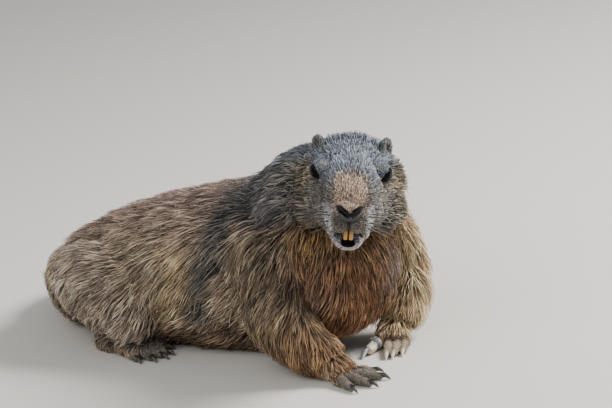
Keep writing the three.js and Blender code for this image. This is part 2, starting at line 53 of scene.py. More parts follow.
EYES = {side: np.mean([np.array(c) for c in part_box(f"eye_{side}")], axis=0) for side in LEFT_RIGHT}
BETWEEN_EYES = (EYES["left"] + EYES["right"]) / 2
AZIMUTH, ELEVATION, ROLL = (math.radians(a) for a in (-50, 14, 7.5))
DISTANCE = 1.824
FOCAL = 2400  # in pixels of a picture 612 wide
AIM = (351 - 306, 172 - 204)  # where that point lies from the picture's middle, in pixels

flat = math.cos(ELEVATION)
look = np.array([-math.sin(AZIMUTH) * flat, math.cos(AZIMUTH) * flat, -math.sin(ELEVATION)])
level = np.array([math.cos(AZIMUTH), math.sin(AZIMUTH), 0])
rise = np.cross(level, look)
across = level * math.cos(ROLL) - rise * math.sin(ROLL)
upright = level * math.sin(ROLL) + rise * math.cos(ROLL)
sideways, upwards = (pixels * DISTANCE / FOCAL for pixels in AIM)
stand = BETWEEN_EYES - look * DISTANCE - across * sideways + upright * upwards
camera = bpy.data.objects.new("camera", bpy.data.cameras.new("camera"))
camera.data.lens = FOCAL / 612 * 36
camera.data.clip_end = 20
rows = [[across[i], upright[i], -look[i], stand[i]] for i in range(3)]
camera.matrix_world = Matrix(rows + [[0, 0, 0, 1]])
bpy.context.scene.collection.objects.link(camera)
bpy.context.scene.camera = camera

# The body under the coat: flesh and hide in one skin from the nose to the tail and out to the toes.
# It is built of oval rings along the trunk, neck, legs and tail, fused and smoothed. Sizes are in
# millimetres at the tips of the coat, and the hide lies below them by the coat's depth.
HEAD_AT = np.array([-42, -185, 160])
SHIFT = BETWEEN_EYES * 1000 - HEAD_AT


def turn_about(axis, angle):
    return np.array(Matrix.Rotation(math.radians(angle), 3, axis))


HEAD_TURN = turn_about("Z", -54) @ turn_about("X", 6) @ turn_about("Y", 10)


def spread(rows, t):
    """Smooth curve through equally spaced rows of numbers, t from 0 to 1."""
    rows = np.asarray(rows, float)
    last = len(rows) - 1
    x = np.clip(t, 0, 1) * last
    i = np.minimum(x.astype(int), last - 1)
    k = (x - i)[:, None]
    a, b, c, d = (rows[np.clip(i + j, 0, last)] for j in (-1, 0, 1, 2))
    return b + 0.5 * k * (c - a + k * (2 * a - 5 * b + 4 * c - d + k * (3 * b - a - 3 * c + d)))


def unit(vectors):
    return vectors / np.maximum(np.linalg.norm(vectors, axis=-1, keepdims=True), 1e-9)


class Form:
    """Oval rings along a path. A station is x, y, z, half width, height above, depth below and the
    ring's power, where 2 makes an ellipse and more makes it boxier."""

    def __init__(self, stations, up=(0, 0, 1), caps=(8, 8), power=2.0, depth=(0, 0), lies=False):
        self.rows = np.array([list(s) + [power] * (7 - len(s)) for s in stations], float)
        self.up = np.array(up, float)
        self.caps = caps
        self.depth = np.array(depth, float)[:, None]
        self.lies = lies
        walk = spread(self.rows[:, :3], np.linspace(0, 1, 60))
        self.length = np.linalg.norm(np.diff(walk, axis=0), axis=1).sum()

    def frames(self, t, hide=True):
        inside = np.clip(t, 0, 1)
        centre = spread(self.rows[:, :3], inside)
        ahead = spread(self.rows[:, :3], np.minimum(inside + 0.01, 1))
        along = unit(ahead - spread(self.rows[:, :3], np.maximum(inside - 0.01, 0)))
        up = unit(self.up - along * (along @ self.up)[:, None])
        side = np.cross(along, up)
        below = spread(self.depth, inside)[:, 0] * hide
        beyond = (t - inside) * self.length
        cap = np.where(t < 0, *self.caps) - below
        dome = np.sqrt(1 - np.minimum(np.abs(beyond) / cap, 1) ** 2)
        sizes = spread(self.rows[:, 3:6], inside) - below[:, None]
        if self.lies:
            sizes[:, 2] += below
        centre = centre + along * beyond[:, None]
        sizes = np.maximum(sizes, 0.5) * dome[:, None]
        return centre, along, side, up, sizes, spread(self.rows[:, 6:], inside)[:, 0]

    def shell(self, rows=40, sides=40, hide=True):
        """The closed surface, as points and faces."""
        below = (self.depth[0, 0] * hide, self.depth[-1, 0] * hide)
        reach = [(cap - b) / self.length for cap, b in zip(self.caps, below)]
        steps = np.cos(np.linspace(0.12, 1.45, 6))
        stops = np.concatenate([-steps * reach[0], np.linspace(0, 1, rows), 1 + steps[::-1] * reach[1]])
        centre, along, side, up, sizes, power = self.frames(stops, hide)
        angle = np.linspace(0, 2 * math.pi, sides, endpoint=False)[None]
        oval = lambda x: np.sign(x) * np.abs(x) ** (2 / power[:, None])
        out, high = oval(np.cos(angle)), oval(np.sin(angle))
        tall = np.where(high > 0, sizes[:, 1:2], sizes[:, 2:3]) * high
        rings = centre[:, None] + side[:, None] * (out * sizes[:, :1])[..., None]
        rings = rings + up[:, None] * tall[..., None]
        poles = self.frames(np.array([-reach[0], 1 + reach[1]]), hide)[0]
        points = np.concatenate([rings.reshape(-1, 3), poles])
        count = len(stops)
        at = lambda r, k: r * sides + k % sides
        faces = [
            (at(r, k), at(r, k + 1), at(r + 1, k + 1), at(r + 1, k))
            for r in range(count - 1)
            for k in range(sides)
        ]
        faces += [(at(0, k + 1), at(0, k), count * sides) for k in range(sides)]
        faces += [(at(count - 1, k), at(count - 1, k + 1), count * sides + 1) for k in range(sides)]
        return points, faces


def ball(centre, radii, turn=np.eye(3), rings=16):
    """An ellipsoid, as points and faces."""
    form = Form([(0, y, 0, 1, 1, 1) for y in (-0.01, 0.01)], caps=(0.99, 0.99))
    points, faces = form.shell(2, rings * 2)
    return (points * radii) @ turn.T + centre, faces


def in_head(shell):
    points, faces = shell
    return points @ HEAD_TURN.T + HEAD_AT, faces


def mesh_piece(name, shells):
    """One object from closed surfaces given in millimetres, with its faces turned outwards."""
    points, faces, count = [], [], 0
    for shape, sheet in shells:
        points.append(shape)
        faces += [[count + i for i in face] for face in sheet]
        count += len(shape)
    mesh = bpy.data.meshes.new(name)
    mesh.from_pydata(((np.concatenate(points) + SHIFT) / 1000).tolist(), [], faces)
    piece = bpy.data.objects.new(name, mesh)
    bpy.context.scene.collection.objects.link(piece)
    turned_outwards(mesh)
    return piece


def turned_outwards(mesh):
    made = bmesh.new()
    made.from_mesh(mesh)
    bmesh.ops.recalc_face_normals(made, faces=made.faces)
    made.to_mesh(mesh)
    made.free()


def settled(piece):
    """The piece with its modifiers applied to its mesh."""
    done = bpy.data.meshes.new_from_object(piece.evaluated_get(bpy.context.evaluated_depsgraph_get()))
    piece.modifiers.clear()
    piece.data = done
    return piece


def fused(piece, voxel, rounds):
    """Overlapping surfaces made one, at a grid of voxel millimetres, and smoothed."""
    fuse = piece.modifiers.new("fuse", "REMESH")
    fuse.mode = "VOXEL"
    fuse.voxel_size = voxel / 1000
    smooth = piece.modifiers.new("smooth", "SMOOTH")
    smooth.factor = 0.5
    smooth.iterations = rounds
    return settled(piece)


def combined(piece, other, how):
    change = piece.modifiers.new("combine", "BOOLEAN")
    change.operation = how
    change.solver = "MANIFOLD"
    change.object = other
    settled(piece)
    bpy.data.objects.remove(other)
    return piece


torso = Form(
    [
        (-18, -150, 76, 48, 42, 46),
        (-11, -130, 76, 60, 52, 56),
        (-2, -100, 74, 70, 65, 64),
        (4, -60, 70, 77, 71, 72),
        (7, -10, 66, 84, 64, 71),
        (7, 45, 62, 84, 57, 67),
        (4, 95, 56, 76, 50, 60),
        (-1, 135, 50, 62, 39, 52),
        (-7, 162, 44, 42, 27, 42),
    ],
    caps=(14, 20),
    power=2.15,
    depth=(7, 7, 8, 8.5, 8.5, 8.5, 8.5, 8, 7),
    lies=True,
)
breast = Form(
    [
        (-27, -147, 112, 40, 24, 20),
        (-25, -151, 88, 47, 29, 26),
        (-20, -150, 60, 45, 28, 26),
        (-15, -142, 36, 37, 22, 22),
    ],
    up=(-0.34, -0.94, 0),
    caps=(12, 16),
    depth=(7, 7, 7, 6),
)
neck = Form(
    [
        (6, -84, 84, 62, 62, 56),
        (3, -110, 101, 62, 64, 56),
        (-4, -134, 117, 60, 61, 52),
        (-12, -153, 128, 52, 51, 42),
    ],
    caps=(14, 10),
    depth=(7.5, 8, 8, 7),
)
tail = Form(
    [
        (-6, 166, 34, 15, 14, 15),
        (8, 187, 29, 21, 19, 24),
        (33, 201, 26, 25, 22, 25),
        (63, 208, 24, 26, 21, 25),
        (94, 209, 21, 22, 18, 22),
        (118, 205, 16, 13, 11, 15),
    ],
    caps=(8, 14),
    depth=(5, 10, 13, 13, 11, 7),
    lies=True,
)
LEG_DEPTH = (6.5, 6.5, 6, 4, 2)
foreleg_right = Form(
    [
        (-50, -104, 96, 26, 34, 34),
        (-62, -114, 70, 26, 31, 33),
        (-72, -124, 44, 22, 26, 30),
        (-71, -142, 27, 18, 20, 24),
        (-68, -163, 16, 13, 13, 15),
    ],
    up=(0, -1, 0),
    caps=(14, 7),
    depth=LEG_DEPTH,
)
foreleg_left = Form(
    [
        (37, -134, 96, 26, 32, 34),
        (44, -145, 71, 27, 30, 32),
        (45.5, -151, 48, 20.5, 26, 28),
        (40, -157, 32, 17.5, 20, 22),
        (29, -160, 19, 13, 14, 15),
    ],
    up=(0, -1, 0),
    caps=(14, 7),
    depth=LEG_DEPTH,
)
hindleg_right, hindleg_left = (
    Form(
        [
            (s * 50, 118, 54, 25, 30, 28),
            (s * 60, 88, 53, 29, 38, 38),
            (s * 67, 54, 42, 27, 34, 34),
            (s * 68, 38, 28, 20, 22, 24),
        ],
        caps=(22, 16),
        depth=(7, 7.5, 7, 4),
    )
    for s in (-1, 1)
)
BODY_FORMS = (torso, breast, neck, tail, foreleg_right, foreleg_left, hindleg_right, hindleg_left)
body = fused(mesh_piece("hide", [f.shell() for f in BODY_FORMS]), 3.2, 6)

# The head: a broad, flat-topped skull with a blunt boxy muzzle, split upper lip, swollen whisker
# pads, full cheeks and a short lower jaw dropped a little open. It is made finer than the trunk.
# The lids, nostrils, mouth, ear cups and the split of the lip are cut into it.
skull = Form(
    [
        (0, -50, -18, 11, 10, 11, 2.4),
        (0, -44, -20, 15.5, 15.5, 14, 2.6),
        (0, -34, -20, 18.5, 22, 17, 2.8),
        (0, -20, -18, 22, 27, 24, 2.8),
        (0, -6, -19, 28, 33, 29, 2.5),
        (0, 8, -23, 35, 42, 30, 2.2),
        (0, 24, -28, 41, 51, 28, 2.2),
        (0, 40, -28, 43.5, 52, 26, 2.2),
        (0, 54, -24, 40, 42, 24, 2.1),
        (0, 67, -19, 30, 27, 20, 2),
    ],
    caps=(4, 12),
    depth=(1, 1.2, 1.4, 2, 3, 4, 5, 5.5, 6, 6),
)
jaw = Form(
    [
        (0, -41, -44.6, 5.8, 2.0, 2.6, 2),
        (0, -35, -45.2, 9.0, 2.6, 4.6, 2.4),
        (0, -24, -44.5, 12.2, 4, 8.5, 2.5),
        (0, -10, -43, 16.5, 6, 12, 2.4),
        (0, 4, -41, 21, 8, 14, 2.3),
    ],
    caps=(3, 6),
    depth=(0.8, 1, 1.5, 2.5, 3),
)
EYE_X = 23.4
EYE_RADIUS = 7.5
LID = 0.9
HEAD_VOXEL = 0.95
GAZE = unit(np.array([0.73, -0.68, 0.08]))


def eye_axes(s):
    """The gaze, the line of the lids, which rises from the tear duct to the ear, and the rest."""
    gaze = GAZE * (s, 1, 1)
    slit = np.array([s * 0.49, 0.59, 0.64])
    slit = unit(slit - gaze * (slit @ gaze))
    return gaze, slit, np.cross(gaze, slit) * s


def lid_opening(s):
    """An almond through the lids, from the tear duct in front to the outer corner."""
    gaze, _, over = eye_axes(s)
    stops = [(*(gaze * out + (s * EYE_X, 0, 0)), 6.5, 3.4, 3.2) for out in (2.5, 8, 14)]
    return Form(stops, up=over, caps=(1, 1), power=1.7).shell(12, 44)


EAR_AT = np.array([26, 31, 9.5])


def ear_turn(s):
    return turn_about("Z", s * 48)


def in_ear(local, s):
    return (local - EAR_AT * (s, 1, 1)) @ ear_turn(s)


NOSTRIL = np.array([(10.8, -49.2, -10.0), (7.9, -51.2, -11.9), (4.7, -53, -13.9), (1.3, -54.2, -15.9)])


def nostril(s):
    """A slit like a comma that runs down and inwards to the split of the lip."""
    widths = (1.7, 2.2, 2.3, 1.9)
    stops = [(s * x, y, z, width, 4, 6) for (x, y, z), width in zip(NOSTRIL, widths)]
    return Form(stops, up=(0, -1, 0), caps=(1, 1)).shell(16, 16)


def off_line(points, stops, weigh=(1, 1, 1)):
    """How far points are from a line of straight pieces, each direction weighed."""
    far = np.full(len(points), 1e3)
    for a, b in zip(stops[:-1], stops[1:]):
        share = np.clip((points - a) @ (b - a) / ((b - a) @ (b - a)), 0, 1)[:, None]
        far = np.minimum(far, np.linalg.norm((points - a - share * (b - a)) * weigh, axis=1))
    return far


def off_nostril(local):
    """How far points of the head are from the nearer nostril's middle line."""
    folded = np.column_stack([np.abs(local[:, 0]), local[:, 1:]])
    return off_line(folded, NOSTRIL, (1, 0.4, 1))


SIDES = (1, -1)
head_shells = [skull.shell(60, 56), jaw.shell(30, 36)]
SWELLINGS = {
    "whisker pad": ((8.3, -36.5, -24.5), (9.6, 12.3, 8.8)),
    "corner of the lip": ((11, -34, -34.5), (3.9, 8.5, 5.0)),
    "side of the muzzle": ((13, -22, -20), (9.5, 16, 12)),
    "cheek": ((27, 20, -37), (14, 17, 13)),
    "brow": ((21.5, 7, 4.5), (6.4, 10, 2.8)),
}
for s in SIDES:
    for (x, y, z), radii in SWELLINGS.values():
        head_shells.append(ball((s * x, y, z), radii))
    head_shells.append(ball(EAR_AT * (s, 1, 1), (6.3, 3.3, 8.5), ear_turn(s)))
    head_shells.append(ball((s * EYE_X, 0, 0), (EYE_RADIUS + LID,) * 3, rings=20))
head = fused(mesh_piece("head", [in_head(shell) for shell in head_shells]), HEAD_VOXEL, 2)
hollows = [
    ball((0, -41, -37.3), (9.2, 15, 6.9)),
    ball((0, -45, -39.6), (8.2, 8, 4.0)),
    ball((0, -49, -31.5), (4.2, 9, 5)),
    ball((0, -55, -24), (1.1, 5, 5.5)),
]
for s in SIDES:
    cup = EAR_AT * (s, 1, 1) + (0, 0, 1) + ear_turn(s) @ np.array([0, -3, 0])
    hollows.append(ball(cup, (4.3, 3.1, 6.1), ear_turn(s)))
    hollows.append(nostril(s))
    hollows.append(lid_opening(s))
for shell in hollows:
    head = combined(head, mesh_piece("hollow", [in_head(shell)]), "DIFFERENCE")
head = fused(head, HEAD_VOXEL, 2)

# The paws: a bare, wrinkled palm and four fingers before, five toes behind, each with a knuckle,
# a rounded pad under its tip and thin short hair. They stand flat on the floor.
# A digit is its root across and back, length, turn, half width and the claw's length.
RIGHT_FINGERS = (
    (9.5, -10, 24, 21, 3.8, 5.2),
    (4.2, -11, 28, 0, 3.9, 5.2),
    (-3, -11, 27, -19, 3.8, 5.2),
    (-9.5, -10, 17, -44, 3.6, 5.2),
)
LEFT_FINGERS = (
    (10.5, -11, 21, 0, 3.5, 5.2),
    (4.8, -12, 25, -3, 3.6, 5.2),
    (-2.4, -12, 25, 1, 3.7, 5.2),
    (-9.5, -11, 18, -24, 4.9, 8.5),
)
TOES = (
    (11, 0, 13, 22, 3.7, 6.3),
    (6, -4, 18, 10, 3.7, 6.3),
    (0.5, -5, 20, 0, 3.7, 6.3),
    (-5, -4, 18, -9, 3.7, 6.3),
    (-11, 2, 13, -24, 3.7, 6.3),
)
# How far along a digit, its height, half width and height above and below, by its half width.
DIGIT = (
    (0, 1.1, 0.95, 1, 1.15),
    (0.3, 1.3, 0.92, 0.95, 1.3),
    (0.5, 1.32, 0.98, 1.0, 1.32),
    (0.72, 1.05, 0.88, 0.85, 1.05),
    (1, 0.86, 0.84, 0.72, 0.86),
)
PAWS = {
    "forepaw_right": (-1, (-69, -165, 0), -2, RIGHT_FINGERS),
    "forepaw_left": (1, (21, -157, 0), -60, LEFT_FINGERS),
    "hindpaw_right": (-1, (-67, 38, 0), -8, TOES),
    "hindpaw_left": (1, (67, 38, 0), 8, TOES),
}


def digits_of(name):
    """The root, heading, length, half width and claw of each digit, in the paw's own frame."""
    s, _, _, digits = PAWS[name]
    for x, y, length, turn, size, claw in digits:
        yaw = math.radians(turn) * s
        yield np.array([x * s, y, 0.0]), np.array([math.sin(yaw), -math.cos(yaw), 0]), length, size, claw


def in_paw(name, shell):
    _, at, yaw, _ = PAWS[name]
    return shell[0] @ turn_about("Z", yaw).T + at, shell[1]


def digit_shell(root, way, length, size):
    rows = []
    for share, z, *sizes in DIGIT:
        rows.append([*(root + way * share * length + (0, 0, z * size)), *(np.array(sizes) * size)])
    return Form(rows, caps=(size, size * 0.6), depth=(0.3, 0.3)).shell(18, 20)


PALM = ((0, 4, 13, 10, 9, 11), (0, -4, 10, 12, 9, 10.5), (0, -11, 7.5, 12.5, 7, 7.5))
SOLE = ((0, 42, 11, 11, 10, 11.5), (0, 18, 10, 13, 9, 10.5), (0, -4, 8, 14, 7.5, 8.5))
LOWEST = 0.0006  # the pads of the paws are pressed flat this far above the floor, in metres
paws = []
for name in PAWS:
    sole = PALM if name.startswith("fore") else SOLE
    shells = [Form(sole, caps=(6, 4), power=2.4, depth=(0.8, 0.8)).shell(20, 28)]
    shells += [digit_shell(*digit[:4]) for digit in digits_of(name)]
    paws.append(fused(mesh_piece(name, [in_paw(name, shell) for shell in shells]), HEAD_VOXEL, 2))
hide = combined(body, head, "UNION")
for paw in paws:
    hide = combined(hide, paw, "UNION")
hide.name = hide.data.name = "hide"
spots = np.empty(len(hide.data.vertices) * 3)
hide.data.vertices.foreach_get("co", spots)
spots = spots.reshape(-1, 3)
spots[:, 2] = np.maximum(spots[:, 2], LOWEST)
hide.data.vertices.foreach_set("co", spots.ravel())
hide.data.shade_smooth()
FLESH = ["torso", "neck", "head", "lower_jaw", "tail"]
PAIRS = ("ear", "foreleg", "hindleg", "forepaw", "hindpaw")
FLESH += [f"{part}_{side}" for part in PAIRS for side in LEFT_RIGHT]
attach(hide, "root")
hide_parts(*FLESH)

# The colours of the coat and hide. Alpine marmots are slate grey on the crown and nape, tan on the bridge
# of the nose, whitish round the lips, straw and dark brown on the flanks and rusty on the breast and
# forelegs. Each hair is dark at the root, and its colour shows from the middle to the tip. Painted shade
# darkens the creases between the forelegs and the breast, and painted light makes the left foreleg's
# outer side and the left forepaw paler than the right ones.


def linear(code):
    """An sRGB hex value as linear light."""
    parts = np.array([int(code[i : i + 2], 16) / 255 for i in (1, 3, 5)])
    return np.where(parts <= 0.04045, parts / 12.92, ((parts + 0.055) / 1.055) ** 2.4)


def ease(x, low, high):
    k = np.clip((x - low) / (high - low), 0, 1)
    return k * k * (3 - 2 * k)


def mottle(points, size, seed):
    """Soft noise from 0 to 1 that changes over size millimetres."""
    cell = np.floor(points / size).astype(np.int64)
    part = points / size - cell
    part = part * part * (3 - 2 * part)
    total = 0
    for corner in np.ndindex(2, 2, 2):
        key = (cell + corner) @ np.array([73856093, 19349663, 83492791]) + seed * 2654435761
        key = (key ^ (key >> 13)) * 1274126177 & 0x7FFFFFFF
        value = ((key ^ (key >> 16)) & 0xFFFF) / 65535
        total = total + value * np.prod(np.where(corner, part, 1 - part), axis=1)
    return total


LENGTH, WIDTH, DEPTH, GROWS = range(4)


class Coat:
    """How one region's hair looks: root, middle and tip colours, length, width and depth in
    millimetres, how thickly it grows to the square millimetre, and the way it lies."""

    def __init__(self, root, middle, tip, length, width, depth, grows, lie):
        self.colours = np.array([linear(c) for c in (root, middle, tip)])
        self.numbers = np.array([length, width, depth, grows], float)
        self.lie = np.array(lie, float)


COATS = {
    "back": Coat("#241c19", "#977d70", "#e6ccba", 26, 0.72, 7, 0.44, (0, 1, -0.45)),
    "flank": Coat("#211a16", "#ac947d", "#fbe8ca", 28, 0.72, 7.5, 0.44, (0, 1, -0.75)),
    "straw": Coat("#2d231a", "#b99c76", "#f4e0bc", 28, 0.78, 7.5, 0.44, (0, 1, -0.9)),
    "belly": Coat("#1f1814", "#6c5644", "#bda084", 24, 1.1, 6, 0.18, (0, 1, -0.5)),
    "nape": Coat("#151619", "#4f545c", "#c3c1be", 25, 0.75, 7, 0.48, (0.25, 1, -0.7)),
    "band": Coat("#0d0d0e", "#34363b", "#a19d97", 27, 0.78, 7, 0.46, (0, 0.9, -1)),
    "shoulder": Coat("#13100e", "#5f5145", "#e4cba8", 26, 0.7, 7.5, 0.52, (-0.1, 0.7, -1)),
    "breast": Coat("#190f09", "#744c33", "#c28d5d", 22, 0.7, 6, 0.52, (0, 0.1, -1)),
    "foreleg": Coat("#1b120d", "#84644a", "#e4ba8c", 22, 0.72, 6, 0.52, (0, 0.45, -1)),
    # Painted light: this paler coat lies only on the left foreleg's outer side, where the lamp falls.
    "lit_outer_foreleg": Coat("#86694a", "#e8c698", "#fff0d0", 24, 0.7, 8.5, 0.62, (0.35, 0.35, -1)),
    "thigh": Coat("#241e1a", "#b8a592", "#f8e8d0", 25, 0.74, 6.5, 0.42, (0, 1, -0.75)),
    "tail": Coat("#1d1613", "#57443a", "#9c7f64", 38, 1.3, 11, 0.26, (0, 0, 0)),
    "paw": Coat("#3a2e25", "#857058", "#b89c7c", 5.5, 0.65, 1.3, 0.9, (0, -1, -0.3)),
    # Painted light: the left forepaw gets these paler coats, where the lamp falls; the other paws stay
    # darker.
    "lit_paw": Coat("#7a6a58", "#b49b80", "#dcc5a6", 5.5, 0.65, 1.3, 0.9, (0, -1, -0.3)),
    "finger": Coat("#2d2925", "#6f675d", "#c2b7a8", 2.4, 0.45, 0.4, 1.1, (0, -1, -0.3)),
    "lit_finger": Coat("#6a5e50", "#a08f7b", "#d2c1a9", 2.2, 0.5, 0.4, 1.2, (0, -1, -0.3)),
    "crown": Coat("#1b1d21", "#5f6771", "#c2c8d0", 7.5, 0.55, 3.4, 1.6, (0, 1, 0.0)),
    "brow": Coat("#2c2825", "#8a8178", "#cfc1ae", 3.5, 0.5, 1.5, 1.8, (0, 1, 0.0)),
    "bridge": Coat("#2e2520", "#a98f7c", "#ecd4bc", 3.4, 0.48, 1.2, 2.3, (0, 1, 0.2)),
    "muzzle": Coat("#5c5856", "#b8b3b4", "#efeaea", 3.2, 0.5, 1.1, 2.4, (0, 1, -0.25)),
    "lip": Coat("#24201e", "#675f57", "#9f958a", 1.9, 0.5, 0.7, 2.4, (0, 1, -0.25)),
    "face": Coat("#121112", "#565351", "#beb2a3", 5.5, 0.52, 2.4, 1.8, (0, 1, -0.3)),
    "cheek": Coat("#171412", "#6c6153", "#dcc6a6", 17, 0.66, 6.5, 1.0, (0.35, 1, -0.5)),
    "throat": Coat("#1a110a", "#654a2f", "#c39c6a", 19, 0.7, 6, 0.62, (0, 0.5, -1)),
    "ear": Coat("#232426", "#5c5e61", "#a09c9a", 3.2, 0.55, 0.9, 2.2, (0, 0.4, 1)),
}


AT_ONCE = 20000


def out_of(points, middle, radii):
    """How far points are from the middle of an ellipsoid, 1 being its surface."""
    return np.linalg.norm((points - middle) / radii, axis=1)


def nearest_on(form, points):
    """Where points lie on a form: along it, round it, and how far out, 1 being its surface."""
    stops = np.linspace(-0.02, 1.02, 53)
    centre, along, side, up, sizes, power = form.frames(stops, False)
    found = np.empty((len(points), 3))
    for start in range(0, len(points), AT_ONCE):
        part = points[start : start + AT_ONCE]
        off = part[:, None] - centre[None]
        ahead = np.einsum("pjk,jk->pj", off, along)
        pick = np.argmin(np.abs(ahead) + 0.12 * np.linalg.norm(off, axis=2), axis=1)
        each = np.arange(len(part))
        off, ahead = off[each, pick], ahead[each, pick]
        x = np.einsum("pk,pk->p", off, side[pick])
        y = np.einsum("pk,pk->p", off, up[pick])
        tall = np.where(y > 0, sizes[pick, 1], sizes[pick, 2])
        out = ((np.abs(x) / sizes[pick, 0]) ** 2 + (np.abs(y) / tall) ** 2) ** 0.5
        out = np.hypot(out, np.maximum(np.abs(ahead) - 6, 0) / 12)
        t = stops[pick] + ahead / form.length
        found[start : start + len(part)] = np.stack([t, np.arctan2(y, x), out], 1)
    return found


REGION_FORMS = {
    "torso": torso,
    "breast": breast,
    "neck": neck,
    "tail": tail,
    "foreleg_right": foreleg_right,
    "foreleg_left": foreleg_left,
    "hindleg_right": hindleg_right,
    "hindleg_left": hindleg_left,
}
# How the hair of the head fans out to its sides and how it rises, where it runs back by 1.
FACE_LIES = {
    "bridge": (0.015, 0.25),
    "crown": (0.015, 0.05),
    "throat": (0.02, -0.9),
    "ear": (0.015, 0.8),
    "face": (0.015, -0.15),
    "cheek": (0.028, -0.75),
}
SLATE_LINE = (
    (-4, -94, 157),
    (-35, -82, 138),
    (-46, -69, 118),
    (-60, -60, 98),
    (-72, -51, 76),
    (-68, -40, 54),
)
STRAW_LINE = (-66, -26, 92), (-72, -24, 76), (-72, -16, 58), (-66, -8, 42)
# Each band runs down the right side, and its mirror image down the left: its coat, its line, and
# how far from that line it starts and ends to fade.
BANDS = (
    ("band", SLATE_LINE, 5, 21),
    ("straw", STRAW_LINE, 4, 20),
)
MIDDLE_X = 4  # where the trunk's middle plane lies at the shoulder
MIX_OVER = 0.17  # how far out, as a share of a form's size, one region's coat runs into the next
NOSE_ZONE = (0, -51, -18), (9, 5, 5)
GAPE_ZONE = (0, -40, -37.5), (8.8, 17, 7)
GAPE_MIDDLE = (0, -45, -38.5)


def banded_finger(points):
    """The outer finger of the left forepaw: a slate band round it, and its cream tip."""
    _, at, yaw, _ = PAWS["forepaw_left"]
    root, way, length, size, _ = list(digits_of("forepaw_left"))[3]
    off = (points - at) @ turn_about("Z", yaw) - root
    along = off @ way
    beside = np.abs(off[:, 0] * way[1] - off[:, 1] * way[0])
    on = (1 - ease(beside, size, size + 1.2)) * (off[:, 2] < 14)
    band = ease(along, 7, 8) * (1 - ease(along, 12, 13))
    return on * band, on * ease(along, 3, 5) * (1 - band)


